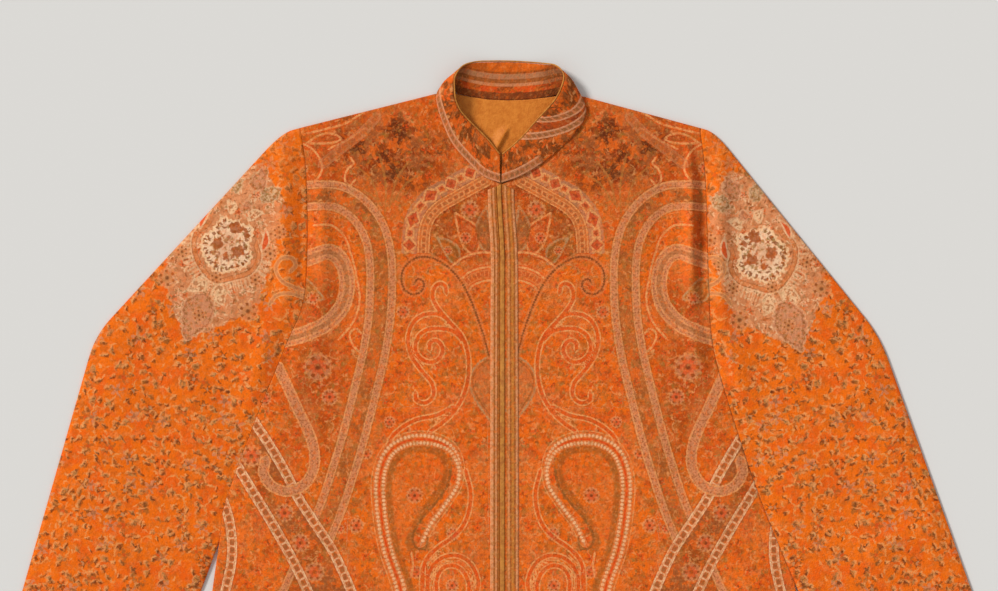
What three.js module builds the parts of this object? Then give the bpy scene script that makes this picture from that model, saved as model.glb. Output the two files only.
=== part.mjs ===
// A long-sleeved kaftan of patterned shawl cloth, laid flat on its back with the front up.
// Millimetres. +X runs to the wearer's left, +Y towards the collar, +Z up from the floor.
// Inside this file y is 0 at the top of the collar and falls towards the hem.
import * as THREE from "three";

// ---- driving sizes ----
const garmentLength = 1320;
const hemHalfWidth = 440;
const hemDrop = 24; // how much lower the hem hangs at the centre than at the side seams
const clothWall = 2; // two layers of shawl cloth and lining, quilted by wear into one wall
const seamGap = 0.3;
const layerLift = 2.4; // the upper layer's extra height over the lower one, away from the seams
const armholeLift = 0.5; // the share of layerLift that is left at the armhole seam
const liftReach = 34; // how far in from a seam the cloth has reached its full height
const lowestUnderside = clothWall + seamGap;
const highestUnderside = 5.9;
const collarWall = 2.6;
const collarWidthSteps = 4;
const neckLap = 6; // how far the fronts run in under the collar's seam
const borderWall = 1;
const bandWidth = 5.4;
const rightBorderWidth = 11.4;
const leftBorderWidth = 14.8;
const stripGap = 0.6; // between the band and the border beside it
const liningWall = 1;
const pipingRadius = 0.9;
const pipingGap = 0.7; // room for the collar to turn its corners beside the roll

// ---- the cut, one table for each seam ----
const armholeRight = [
  { x: -240, y: -79 },
  { x: -233, y: -127 },
  { x: -231, y: -215 },
  { x: -236, y: -288 },
  { x: -257, y: -340 },
  { x: -294, y: -431 },
  { x: -329, y: -526 },
  { x: -337, y: -576 },
];
const armholeLeft = [
  { x: 240, y: -79 },
  { x: 246, y: -130 },
  { x: 249, y: -200 },
  { x: 251, y: -270 },
  { x: 257, y: -346 },
  { x: 287, y: -449 },
  { x: 318, y: -538 },
  { x: 354, y: -625 },
];
const neckRight = [
  { x: -77, y: -38 },
  { x: -65, y: -82 },
  { x: -41, y: -116 },
  { x: -3, y: -145 },
];
const neckLeft = [
  { x: 95, y: -40 },
  { x: 99, y: -72 },
  { x: 63, y: -112 },
  { x: 7, y: -145 },
];
const neckCentre = new THREE.Vector2(9, -75);
const backNeckGap = 0.7; // between the back's neck edge and the collar's seam edge
const opening = { topX: 2.4, lowX: 6.6, topY: -145, lowY: -240 };

// Each sleeve's edges: cap and elbow are the rounded corners of the outer edge.
const sleeveRight = {
  cap: { x: -262, y: -85, round: 30 },
  elbow: { x: -486, y: -328, round: 28 },
  cuffOuter: { x: -582, y: -664 },
  cuffInner: { x: -395, y: -727 },
  innerBend: { x: -359, y: -634 },
};
const sleeveLeft = {
  cap: { x: 258, y: -84, round: 26 },
  elbow: { x: 456, y: -329, round: 30 },
  cuffOuter: { x: 577, y: -664 },
  cuffInner: { x: 394, y: -727 },
  innerBend: { x: 368, y: -660 },
};

// The stand collar, from its right front end round the back to its left front end.
// seam is the edge sewn to the neck and rim the free edge; bulge moves the middle of the band away from the neck.
const collarSections = [
  { seamX: -1.2, seamY: -145, seamZ: 8.3, rimX: -0.6, rimY: -112, rimZ: 9.6, bulge: 0 },
  { seamX: -20, seamY: -137, seamZ: 8.3, rimX: -14, rimY: -95, rimZ: 10, bulge: 0 },
  { seamX: -41, seamY: -117, seamZ: 8.3, rimX: -29, rimY: -80, rimZ: 11, bulge: 0.5 },
  { seamX: -57, seamY: -98, seamZ: 8.3, rimX: -41, rimY: -68, rimZ: 13, bulge: 1 },
  { seamX: -67, seamY: -77, seamZ: 8.2, rimX: -49, rimY: -58, rimZ: 17, bulge: 1.5 },
  { seamX: -74, seamY: -56, seamZ: 8, rimX: -54, rimY: -46, rimZ: 21, bulge: 2 },
  { seamX: -76, seamY: -40, seamZ: 7.4, rimX: -55.5, rimY: -32, rimZ: 23, bulge: 3 },
  { seamX: -70, seamY: -34, seamZ: 6.4, rimX: -54.5, rimY: -18, rimZ: 21, bulge: 4 },
  { seamX: -57, seamY: -36, seamZ: 5, rimX: -45, rimY: -6, rimZ: 14, bulge: 2.5 },
  { seamX: -37, seamY: -41, seamZ: 3, rimX: -29, rimY: -1, rimZ: 7.5, bulge: 0.5 },
  { seamX: -14, seamY: -44.5, seamZ: 1.6, rimX: -10, rimY: 0, rimZ: 3.4, bulge: 0 },
  { seamX: 9, seamY: -45.5, seamZ: 1.6, rimX: 10, rimY: 0, rimZ: 2.6, bulge: 0 },
  { seamX: 33, seamY: -44.5, seamZ: 1.6, rimX: 31, rimY: -1, rimZ: 3, bulge: 0 },
  { seamX: 56, seamY: -42, seamZ: 3, rimX: 53, rimY: -3, rimZ: 6.5, bulge: 0.5 },
  { seamX: 76, seamY: -38, seamZ: 5, rimX: 68, rimY: -6, rimZ: 13, bulge: 2.5 },
  { seamX: 89, seamY: -36, seamZ: 6.6, rimX: 77, rimY: -16, rimZ: 20, bulge: 4 },
  { seamX: 98, seamY: -43, seamZ: 7.6, rimX: 75, rimY: -30, rimZ: 23, bulge: 3 },
  { seamX: 103, seamY: -61, seamZ: 8.2, rimX: 67, rimY: -46, rimZ: 21, bulge: 2 },
  { seamX: 93, seamY: -82, seamZ: 8.3, rimX: 55, rimY: -60, rimZ: 17, bulge: 1.5 },
  { seamX: 72, seamY: -104, seamZ: 8.3, rimX: 42, rimY: -74, rimZ: 13, bulge: 1 },
  { seamX: 48, seamY: -123, seamZ: 8.3, rimX: 28, rimY: -90, rimZ: 11, bulge: 0.5 },
  { seamX: 24, seamY: -137, seamZ: 8.3, rimX: 14, rimY: -103, rimZ: 10, bulge: 0 },
  { seamX: 2.6, seamY: -145, seamZ: 8.3, rimX: 3.2, rimY: -112, rimZ: 9.6, bulge: 0 },
];

// Creases of the upper layer: a soft ridge (rise > 0) or trough (rise < 0) along a line.
const creases = [
  { name: "right armhole trough", x1: -236, y1: -135, x2: -226, y2: -380, width: 13, rise: -1.5 },
  { name: "right sleeve cap ridge", x1: -264, y1: -120, x2: -262, y2: -300, width: 17, rise: 0.9 },
  { name: "left armhole trough", x1: 238, y1: -118, x2: 242, y2: -270, width: 8, rise: -1.9 },
  { name: "left chest ridge", x1: 221, y1: -112, x2: 224, y2: -262, width: 11, rise: 1 },
  { name: "left sleeve cap ridge", x1: 264, y1: -120, x2: 268, y2: -330, width: 17, rise: 0.9 },
  { name: "right elbow trough", x1: -462, y1: -332, x2: -376, y2: -352, width: 15, rise: -1 },
  { name: "right forearm ridge", x1: -478, y1: -372, x2: -400, y2: -420, width: 18, rise: 0.8 },
  { name: "left elbow trough", x1: 438, y1: -336, x2: 360, y2: -362, width: 15, rise: -1 },
  { name: "left forearm ridge", x1: 462, y1: -380, x2: 392, y2: -430, width: 18, rise: 0.8 },
  { name: "right underarm ridge", x1: -318, y1: -560, x2: -262, y2: -640, width: 18, rise: 0.9 },
  { name: "left underarm ridge", x1: 322, y1: -600, x2: 258, y2: -690, width: 18, rise: 0.9 },
  { name: "right side flute", x1: -372, y1: -1290, x2: -318, y2: -800, width: 26, rise: 1 },
  { name: "right front flute", x1: -228, y1: -1310, x2: -204, y2: -900, width: 24, rise: 0.9 },
  { name: "right hem dip", x1: -300, y1: -1300, x2: -268, y2: -960, width: 22, rise: -1.1 },
  { name: "left side flute", x1: 366, y1: -1290, x2: 322, y2: -840, width: 26, rise: 1 },
  { name: "left front flute", x1: 214, y1: -1310, x2: 196, y2: -940, width: 24, rise: 0.9 },
  { name: "left hem dip", x1: 292, y1: -1300, x2: 268, y2: -980, width: 22, rise: -1.1 },
];

// ---- grid steps ----
const armholeSteps = 16;
const neckSteps = 5;
const sideSteps = 13;
const sleeveSteps = 14;
const collarSteps = 44;
const frontColumns = [0, 0.12, 0.24, 0.36, 0.48, 0.58, 0.68, 0.76, 0.83, 0.89, 0.94, 0.975, 1];

const lerp = THREE.MathUtils.lerp;
const smooth = (value) => THREE.MathUtils.smoothstep(value, 0, 1);
const pointsOf = (rows) => rows.map((row) => new THREE.Vector2(row.x, row.y));

function clothMaterial(color, roughness) {
  return new THREE.MeshStandardMaterial({ color, roughness, metalness: 0 });
}

const shawlCloth = clothMaterial(0xb8602c, 0.9);
const sleeveCloth = clothMaterial(0xd4691e, 0.9);
const collarCloth = clothMaterial(0xa8502a, 0.9);
const borderCloth = clothMaterial(0xc98a62, 0.85);
const goldenCloth = clothMaterial(0xa87a34, 0.7);
const liningCloth = clothMaterial(0xbe8232, 0.6);

// A closed wall between two grids of points with the same rows and columns.
function closedWall(upper, lower, material, name) {
  const rows = upper.length;
  const columns = upper[0].length;
  const positions = [];
  for (const grid of [upper, lower]) {
    for (const row of grid) {
      for (const point of row) positions.push(point.x, point.y, point.z);
    }
  }
  const index = (side, row, column) => side * rows * columns + row * columns + column;
  const triangles = [];
  const quad = (a, b, c, d) => triangles.push(a, b, c, a, c, d);
  for (let row = 0; row + 1 < rows; row += 1) {
    for (let column = 0; column + 1 < columns; column += 1) {
      const next = column + 1;
      quad(index(0, row, column), index(0, row + 1, column), index(0, row + 1, next), index(0, row, next));
      quad(index(1, row, column), index(1, row, next), index(1, row + 1, next), index(1, row + 1, column));
    }
    const last = columns - 1;
    quad(index(0, row, 0), index(1, row, 0), index(1, row + 1, 0), index(0, row + 1, 0));
    quad(index(0, row, last), index(0, row + 1, last), index(1, row + 1, last), index(1, row, last));
  }
  for (let column = 0; column + 1 < columns; column += 1) {
    const next = column + 1;
    const last = rows - 1;
    quad(index(0, 0, column), index(0, 0, next), index(1, 0, next), index(1, 0, column));
    quad(index(0, last, column), index(1, last, column), index(1, last, next), index(0, last, next));
  }
  if (signedVolume(positions, triangles) < 0) triangles.reverse();
  const geometry = new THREE.BufferGeometry();
  geometry.setAttribute("position", new THREE.Float32BufferAttribute(positions, 3));
  geometry.setIndex(triangles);
  geometry.computeVertexNormals();
  const mesh = new THREE.Mesh(geometry, material);
  mesh.name = name;
  return mesh;
}

function signedVolume(positions, triangles) {
  const corner = (place) => new THREE.Vector3().fromArray(positions, triangles[place] * 3);
  let volume = 0;
  for (let place = 0; place < triangles.length; place += 3) {
    volume += corner(place).dot(corner(place + 1).cross(corner(place + 2))) / 6;
  }
  return volume;
}

// A flat layer that rests on the floor, cut to an outline.
function flatPanel(outline, bottom, thickness, material, name) {
  const geometry = new THREE.ExtrudeGeometry(new THREE.Shape(outline), { depth: thickness, bevelEnabled: false });
  geometry.translate(0, 0, bottom);
  const mesh = new THREE.Mesh(geometry, material);
  mesh.name = name;
  return mesh;
}

function moved(grid, rise) {
  return grid.map((row) => row.map((point) => new THREE.Vector3(point.x, point.y, point.z + rise)));
}

// ---- seams worked out from the tables ----
function shifted(points, dx) {
  return points.map((point) => new THREE.Vector2(point.x + dx, point.y));
}

function armholePoints(table) {
  return new THREE.SplineCurve(pointsOf(table)).getSpacedPoints(armholeSteps);
}

// The neck seam moved in under the collar by the lap.
function neckPoints(table) {
  return new THREE.SplineCurve(pointsOf(table)).getSpacedPoints(neckSteps).map((point, step) => {
    const inward = neckCentre.clone().sub(point).normalize();
    const share = step === 0 || step === neckSteps ? 0 : 1;
    return point.clone().add(inward.multiplyScalar(neckLap * share));
  });
}

function openingX(y) {
  const share = smooth((opening.topY - y) / (opening.topY - opening.lowY));
  return lerp(opening.topX, opening.lowX, share);
}

function hemY(x) {
  return hemDrop * (x / hemHalfWidth) ** 2 - garmentLength;
}

function sideSeam(side, underarm) {
  const corner = new THREE.Vector2(side * hemHalfWidth, hemDrop - garmentLength);
  return new THREE.LineCurve(underarm, corner).getSpacedPoints(sideSteps);
}

function sleeveOuterPath(shoulder, shape) {
  const path = new THREE.Path();
  const corners = [shoulder, shape.cap, shape.elbow, shape.cuffOuter];
  path.moveTo(shoulder.x, shoulder.y);
  for (let place = 1; place < corners.length - 1; place += 1) {
    const corner = new THREE.Vector2(corners[place].x, corners[place].y);
    const back = new THREE.Vector2(corners[place - 1].x, corners[place - 1].y).sub(corner);
    const ahead = new THREE.Vector2(corners[place + 1].x, corners[place + 1].y).sub(corner);
    const round = Math.min(corners[place].round, back.length() * 0.6);
    const start = corner.clone().add(back.setLength(round));
    const end = corner.clone().add(ahead.setLength(round));
    path.lineTo(start.x, start.y);
    path.quadraticCurveTo(corner.x, corner.y, end.x, end.y);
  }
  path.lineTo(shape.cuffOuter.x, shape.cuffOuter.y);
  return path.getSpacedPoints(sleeveSteps);
}

function sleeveInnerPath(underarm, shape) {
  const bend = new THREE.Vector2(shape.innerBend.x, shape.innerBend.y);
  const cuff = new THREE.Vector2(shape.cuffInner.x, shape.cuffInner.y);
  return new THREE.SplineCurve([underarm, bend, cuff]).getSpacedPoints(sleeveSteps);
}

// ---- the height of the upper layer ----
function creaseRise(x, y) {
  let rise = 0;
  for (const crease of creases) {
    const along = new THREE.Vector2(crease.x2 - crease.x1, crease.y2 - crease.y1);
    const from = new THREE.Vector2(x - crease.x1, y - crease.y1);
    const share = THREE.MathUtils.clamp(from.dot(along) / along.lengthSq(), 0, 1);
    const distance = from.sub(along.multiplyScalar(share)).length();
    rise += crease.rise * Math.exp(-((distance / crease.width) ** 2)) * Math.sin(Math.PI * (0.12 + 0.76 * share));
  }
  return rise;
}

function underside(x, y, lift) {
  const base = lowestUnderside + layerLift * lift;
  const settled = smooth(lift * 1.6);
  return THREE.MathUtils.clamp(base + creaseRise(x, y) * settled, lowestUnderside, highestUnderside);
}

// The share of the full lift at a distance from a seam where the share is edgeShare.
function liftFrom(distance, edgeShare) {
  return lerp(edgeShare, 1, smooth(distance / liftReach));
}

// ---- the panels ----
function frontRows(side) {
  const neck = neckPoints(side < 0 ? neckRight : neckLeft);
  const armhole = shifted(armholePoints(side < 0 ? armholeRight : armholeLeft), -side * seamGap * 0.6);
  const seam = sideSeam(side, armhole[armholeSteps]);
  const rows = [];
  const underarmY = armhole[armholeSteps].y;
  const neckEnd = neck[neckSteps].y;
  for (let step = 0; step <= armholeSteps; step += 1) {
    const share = (step - neckSteps) / (armholeSteps - neckSteps);
    const y = lerp(neckEnd, underarmY, Math.max(share, 0));
    const inner = step < neckSteps ? neck[step] : new THREE.Vector2(frontEdgeX(side, y), y);
    rows.push({ inner, outer: armhole[step], bow: 0, edgeShare: armholeLift * smooth(step / 4) });
  }
  for (let step = 1; step <= sideSteps; step += 1) {
    const share = step / sideSteps;
    const y = lerp(underarmY, -garmentLength, share);
    const inner = new THREE.Vector2(frontEdgeX(side, y), y);
    const edgeShare = armholeLift * smooth(1 - share * 6);
    rows.push({ inner, outer: seam[step], bow: hemDrop * share * share, edgeShare });
  }
  return rows;
}

function frontEdgeX(side, y) {
  return openingX(y) + side * seamGap * 0.6;
}

function frontUnderside(side) {
  return frontRows(side).map((row) => frontColumns.map((share) => frontPoint(row, share)));
}

function frontPoint(row, share) {
  const x = lerp(row.inner.x, row.outer.x, share);
  const y = lerp(row.inner.y, row.outer.y, share) - row.bow * share * (1 - share);
  const fromSide = (1 - share) * row.inner.distanceTo(row.outer);
  const shoulderY = lerp(-38, -79, THREE.MathUtils.clamp((Math.abs(x) - 77) / 163, 0, 1));
  const fromShoulder = Math.max(shoulderY - y, 0);
  const lift = Math.min(liftFrom(fromSide, row.edgeShare), liftFrom(fromShoulder, 0));
  return new THREE.Vector3(x, y, underside(x, y, lift));
}

function frontPanel(side, name) {
  const lower = frontUnderside(side);
  return closedWall(moved(lower, clothWall), lower, shawlCloth, name);
}

// A strip that lies on a front along its edge, between two distances from the opening.
function frontStrip(side, from, to, material, name) {
  const rows = frontRows(side).slice(neckSteps);
  const across = (row, reach) => {
    const share = reach / row.inner.distanceTo(row.outer);
    return frontPoint(row, share);
  };
  const grid = rows.map((row) => [across(row, from), across(row, (from + to) / 2), across(row, to)]);
  const lower = moved(grid, clothWall + seamGap);
  return closedWall(moved(lower, borderWall), lower, material, name);
}

function backPanel() {
  const outline = [];
  const right = shifted(armholePoints(armholeRight), seamGap * 0.6);
  const left = shifted(armholePoints(armholeLeft), -seamGap * 0.6);
  const neckPointRight = neckRight[0];
  const neckPointLeft = neckLeft[0];
  outline.push(new THREE.Vector2(neckPointRight.x, neckPointRight.y));
  outline.push(...right, ...sideSeam(-1, right[armholeSteps]).slice(1));
  for (let step = 1; step < 2 * sideSteps; step += 1) {
    const x = lerp(-hemHalfWidth, hemHalfWidth, step / (2 * sideSteps));
    outline.push(new THREE.Vector2(x, hemY(x)));
  }
  outline.push(...sideSeam(1, left[armholeSteps]).reverse(), ...left.reverse().slice(1));
  outline.push(new THREE.Vector2(neckPointLeft.x, neckPointLeft.y));
  for (const section of collarSections.slice(8, 15).reverse()) {
    outline.push(new THREE.Vector2(section.seamX, section.seamY - backNeckGap));
  }
  return flatPanel(outline, 0, clothWall, shawlCloth, "back_panel");
}

// ---- the sleeves ----
function sleeveEdges(side) {
  const table = side < 0 ? armholeRight : armholeLeft;
  const shape = side < 0 ? sleeveRight : sleeveLeft;
  const armhole = shifted(armholePoints(table), side * seamGap * 0.6);
  const outer = sleeveOuterPath(armhole[0], shape);
  const inner = sleeveInnerPath(armhole[armholeSteps], shape);
  return { armhole, outer, inner };
}

// The point of a sleeve's plan at a share of its length and a share of its width.
function sleevePlan(edges, alongStep, acrossStep) {
  const along = alongStep / sleeveSteps;
  const across = acrossStep / armholeSteps;
  const { armhole, outer, inner } = edges;
  const cuff = outer[sleeveSteps].clone().lerp(inner[sleeveSteps], across);
  const lengthwise = armhole[acrossStep].clone().lerp(cuff, along);
  const crosswise = outer[alongStep].clone().lerp(inner[alongStep], across);
  const start = armhole[0].clone().lerp(armhole[armholeSteps], across);
  const end = outer[sleeveSteps].clone().lerp(inner[sleeveSteps], across);
  return lengthwise.add(crosswise).sub(start.lerp(end, along));
}

function topSleeve(side, name) {
  const edges = sleeveEdges(side);
  const lower = [];
  for (let alongStep = 0; alongStep <= sleeveSteps; alongStep += 1) {
    const row = [];
    for (let acrossStep = 0; acrossStep <= armholeSteps; acrossStep += 1) {
      const plan = sleevePlan(edges, alongStep, acrossStep);
      const outerDistance = plan.distanceTo(sleevePlan(edges, alongStep, 0));
      const innerDistance = plan.distanceTo(sleevePlan(edges, alongStep, armholeSteps));
      const seamDistance = plan.distanceTo(sleevePlan(edges, 0, acrossStep));
      const lift = sleeveLift(outerDistance, innerDistance, seamDistance, acrossStep);
      row.push(new THREE.Vector3(plan.x, plan.y, underside(plan.x, plan.y, lift)));
    }
    lower.push(row);
  }
  return closedWall(moved(lower, clothWall), lower, sleeveCloth, name);
}

function sleeveLift(outerDistance, innerDistance, seamDistance, acrossStep) {
  const seamShare = armholeLift * smooth(acrossStep / 4);
  const nearSeam = smooth(1 - seamDistance / liftReach);
  const sides = Math.min(liftFrom(outerDistance, 0), liftFrom(innerDistance, 0));
  return lerp(sides, Math.min(seamShare, 1), nearSeam);
}

function underSleeve(side, name) {
  const { armhole, outer, inner } = sleeveEdges(side);
  const outline = [...outer, ...inner.slice().reverse(), ...armhole.slice(1, armholeSteps).reverse()];
  return flatPanel(outline, 0, clothWall, sleeveCloth, name);
}

// ---- the collar ----
// Seam and rim points of the collar at a share of its length.
const collarSeam = new THREE.CatmullRomCurve3(
  collarSections.map((row) => new THREE.Vector3(row.seamX, row.seamY, row.seamZ)),
  false,
  "centripetal",
);
const collarRim = new THREE.CatmullRomCurve3(
  collarSections.map((row) => new THREE.Vector3(row.rimX, row.rimY, row.rimZ)),
  false,
  "centripetal",
);

function collarBulge(share) {
  const place = share * (collarSections.length - 1);
  const section = Math.min(Math.floor(place), collarSections.length - 2);
  return lerp(collarSections[section].bulge, collarSections[section + 1].bulge, place - section);
}

function collarPoint(share, across) {
  const seam = collarSeam.getPoint(share);
  const rim = collarRim.getPoint(share);
  const point = seam.clone().lerp(rim, across);
  const outward = new THREE.Vector3(point.x - neckCentre.x, point.y - neckCentre.y, 0).normalize();
  return point.add(outward.multiplyScalar(collarBulge(share) * Math.sin(Math.PI * across)));
}

function collarNormal(share, across) {
  const small = 0.004;
  const alongStart = collarPoint(Math.max(share - small, 0), across);
  const alongEnd = collarPoint(Math.min(share + small, 1), across);
  const acrossStart = collarPoint(share, Math.max(across - small, 0));
  const acrossEnd = collarPoint(share, Math.min(across + small, 1));
  return alongEnd.sub(alongStart).cross(acrossEnd.sub(acrossStart)).normalize();
}

function collarGrid(offset) {
  const grid = [];
  for (let step = 0; step <= collarSteps; step += 1) {
    const row = [];
    for (let place = 0; place <= collarWidthSteps; place += 1) {
      const share = step / collarSteps;
      const across = place / collarWidthSteps;
      row.push(collarPoint(share, across).add(collarNormal(share, across).multiplyScalar(offset)));
    }
    grid.push(row);
  }
  return grid;
}

function collarStand() {
  const half = collarWall / 2;
  return closedWall(collarGrid(half), collarGrid(-half), collarCloth, "collar_stand");
}

// A thin roll sewn along the collar's free edge.
function collarPiping() {
  const offset = pipingRadius + pipingGap;
  const centre = [];
  for (let step = 0; step <= collarSteps; step += 1) {
    const share = step / collarSteps;
    const rim = collarPoint(share, 1);
    const outward = rim.clone().sub(collarPoint(share, 0.8)).normalize();
    centre.push(rim.add(outward.multiplyScalar(offset)));
  }
  const route = new THREE.CatmullRomCurve3(centre, false, "centripetal");
  const section = new THREE.Shape();
  section.absarc(0, 0, pipingRadius, 0, Math.PI * 2, false);
  const settings = { steps: collarSteps, extrudePath: route, curveSegments: 3, bevelEnabled: false };
  const mesh = new THREE.Mesh(new THREE.ExtrudeGeometry(section, settings), goldenCloth);
  mesh.name = "collar_piping";
  return mesh;
}

// ---- the lining that shows in the neck ----
const lining = { rows: 9, columns: 10, topY: -48.5, lowY: -150, topHalf: 70, lowHalf: 14, fold: 1 };

function backNeckLining() {
  const lower = [];
  for (let step = 0; step <= lining.rows; step += 1) {
    const down = step / lining.rows;
    const y = lerp(lining.topY, lining.lowY, down);
    const half = lerp(lining.topHalf, lining.lowHalf, down ** 1.4);
    const row = [];
    for (let place = 0; place <= lining.columns; place += 1) {
      const x = neckCentre.x + half * ((2 * place) / lining.columns - 1);
      row.push(new THREE.Vector3(x, y, clothWall + seamGap));
    }
    lower.push(row);
  }
  const upper = lower.map((row) => row.map((point) => {
    const foldX = lerp(10, -4, (point.y - lining.topY) / (lining.lowY - lining.topY));
    const fold = lining.fold * Math.exp(-(((point.x - foldX) / 9) ** 2)) * smooth((-80 - point.y) / 25);
    return new THREE.Vector3(point.x, point.y, point.z + liningWall + fold);
  }));
  return closedWall(upper, lower, liningCloth, "back_neck_lining");
}

const kaftan = new THREE.Group();
kaftan.name = "kaftan";
kaftan.add(backPanel());
kaftan.add(frontPanel(-1, "front_panel_right"));
kaftan.add(frontPanel(1, "front_panel_left"));
kaftan.add(topSleeve(-1, "sleeve_right_top"));
kaftan.add(underSleeve(-1, "sleeve_right_under"));
kaftan.add(topSleeve(1, "sleeve_left_top"));
kaftan.add(underSleeve(1, "sleeve_left_under"));
kaftan.add(collarStand());
kaftan.add(collarPiping());
kaftan.add(backNeckLining());
kaftan.add(frontStrip(-1, 1, 1 + bandWidth, goldenCloth, "opening_band_right"));
const borderFrom = 1 + bandWidth + stripGap;
kaftan.add(frontStrip(-1, borderFrom, borderFrom + rightBorderWidth, borderCloth, "front_border_right"));
kaftan.add(frontStrip(1, 1, 1 + leftBorderWidth, borderCloth, "front_border_left"));

// The origin is the middle of the laid garment, on the floor.
const box = new THREE.Box3().setFromObject(kaftan);
kaftan.position.set(-(box.min.x + box.max.x) / 2, -(box.min.y + box.max.y) / 2, -box.min.z);
kaftan.updateMatrixWorld(true);

export default kaftan;
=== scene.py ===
# A kaftan of paisley shawl cloth, laid flat with its front up. Sizes are in millimetres of the garment:
# x to the wearer's left, y from the top of the collar (0) down to the hem, z up from the floor.
import math

import bpy
import numpy as np
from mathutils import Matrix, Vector


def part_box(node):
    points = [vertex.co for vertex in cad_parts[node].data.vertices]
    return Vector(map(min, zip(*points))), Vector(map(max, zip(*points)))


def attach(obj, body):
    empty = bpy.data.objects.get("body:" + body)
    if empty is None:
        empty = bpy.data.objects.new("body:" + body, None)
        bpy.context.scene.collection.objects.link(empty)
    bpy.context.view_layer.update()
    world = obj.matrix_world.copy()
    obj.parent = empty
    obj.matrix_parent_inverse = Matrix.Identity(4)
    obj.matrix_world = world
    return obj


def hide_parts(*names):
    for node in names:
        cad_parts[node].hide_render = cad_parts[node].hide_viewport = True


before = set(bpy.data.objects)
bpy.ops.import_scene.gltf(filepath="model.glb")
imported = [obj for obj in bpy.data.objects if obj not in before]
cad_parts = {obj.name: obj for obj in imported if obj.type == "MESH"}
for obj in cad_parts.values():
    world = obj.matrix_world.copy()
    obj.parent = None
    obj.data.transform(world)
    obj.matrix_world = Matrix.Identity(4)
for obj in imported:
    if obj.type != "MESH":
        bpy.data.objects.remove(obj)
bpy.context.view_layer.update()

mm = 0.001
fullTurn = 6.283
garmentLength = 1320
backLow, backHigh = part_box("back_panel")
middleX = (backLow[0] + backHigh[0]) / 2 / mm
topY = backLow[1] / mm + garmentLength
print("frame loaded, collar top at", round(topY, 1), "mm")


# Grids of points and the meshes made from them.

def smooth(value):
    value = np.clip(value, 0, 1)
    return value * value * (3 - 2 * value)


def lerp(a, b, share):
    return a + (b - a) * share


def stretch(share, low, high):
    return smooth((share - low) / (high - low))


def alongLine(line, shares):  # points at shares of a line's length
    steps = np.linalg.norm(np.diff(line, axis=0), axis=1)
    length = np.concatenate([[0], np.cumsum(steps)])
    wanted = np.asarray(shares) * length[-1]
    return np.stack([np.interp(wanted, length, line[:, k]) for k in range(line.shape[1])], axis=-1)


def curveThrough(points, perSpan=14):  # a smooth line through a few points
    points = np.asarray(points, float)
    ends = np.vstack([2 * points[0] - points[1], points, 2 * points[-1] - points[-2]])
    place = np.linspace(0, len(points) - 1, perSpan * (len(points) - 1) + 1)
    span = np.minimum(place.astype(int), len(points) - 2)
    t = (place - span)[:, None]
    a, b, c, d = ends[span], ends[span + 1], ends[span + 2], ends[span + 3]
    bent, curled = 2 * a - 5 * b + 4 * c - d, 3 * b - a - 3 * c + d
    return 0.5 * (2 * b + (c - a) * t + bent * t ** 2 + curled * t ** 3)


def gridFaces(rows, columns, offset=0):
    first = (np.arange(rows - 1)[:, None] * columns + np.arange(columns - 1)).ravel() + offset
    return np.stack([first, first + columns, first + columns + 1, first + 1], axis=1)


def edged(grid):  # one more ring of points on the edge
    return np.pad(grid, ((1, 1), (1, 1), (0, 0)), mode="edge")


def rimmed(grid, drop):  # the new ring turns the cloth's edge down by its thickness
    ring = edged(grid)
    edge = np.ones(ring.shape[:2], bool)
    edge[1:-1, 1:-1] = False
    ring[edge, 2] -= drop
    return ring


def clothPiece(name, points, faces, look, fields, flip=False, skirt=()):  # look: slot, material, CAD node
    slotName, material, node = look
    mesh = bpy.data.meshes.new(name)
    place = (points + [middleX, topY, 0]) * mm
    if flip:
        faces = faces[:, ::-1]
    mesh.vertices.add(len(place))
    mesh.vertices.foreach_set("co", place.astype(np.float32).ravel())
    mesh.loops.add(faces.size)
    mesh.loops.foreach_set("vertex_index", faces.astype(np.int32).ravel())
    mesh.polygons.add(len(faces))
    mesh.polygons.foreach_set("loop_start", np.arange(0, faces.size, faces.shape[1], dtype=np.int32))
    mesh.update(calc_edges=True)
    mesh.validate()
    mesh.shade_smooth()
    for face in skirt:  # the turned-down edge doesn't bend the light on the cloth beside it
        mesh.polygons[int(face)].use_smooth = False
    for key, values in fields.items():
        layer = mesh.attributes.new(key, "FLOAT_VECTOR", "POINT")
        layer.data.foreach_set("vector", values.astype(np.float32).ravel())
    mesh.materials.append(material)
    piece = bpy.data.objects.new(name, mesh)
    bpy.context.scene.collection.objects.link(piece)
    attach(piece, "root")
    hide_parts(node)
    return piece


def sheetOfGrid(name, grid, drop, look, fields, flip=False):
    ring = rimmed(grid, drop)
    rows, columns = ring.shape[:2]
    wide = {key: edged(values.reshape(grid.shape)).reshape(-1, 3) for key, values in fields.items()}
    order = np.arange((rows - 1) * (columns - 1)).reshape(rows - 1, columns - 1)
    skirt = np.concatenate([order[0], order[-1], order[1:-1, 0], order[1:-1, -1]])
    return clothPiece(name, ring.reshape(-1, 3), gridFaces(rows, columns), look, wide, flip, skirt)


def wallOfGrids(name, upper, lower, look, fields, flip=False):
    rows, columns = upper.shape[:2]
    points = np.concatenate([upper.reshape(-1, 3), lower.reshape(-1, 3)])
    under = gridFaces(rows, columns, rows * columns)[:, ::-1]
    edge = np.concatenate([np.arange(columns), np.arange(1, rows) * columns + columns - 1,
                           (rows - 1) * columns + np.arange(columns - 2, -1, -1),
                           np.arange(rows - 2, 0, -1) * columns])
    after = np.roll(edge, -1)
    rim = np.stack([edge, after, after + rows * columns, edge + rows * columns], axis=1)
    faces = np.concatenate([gridFaces(rows, columns), under, rim])
    both = {key: np.concatenate([part.reshape(-1, 3) for part in pair]) for key, pair in fields.items()}
    return clothPiece(name, points, faces, look, both, flip)


# Materials: a Wire is a shader socket, and expressions on wires add the nodes.

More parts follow.
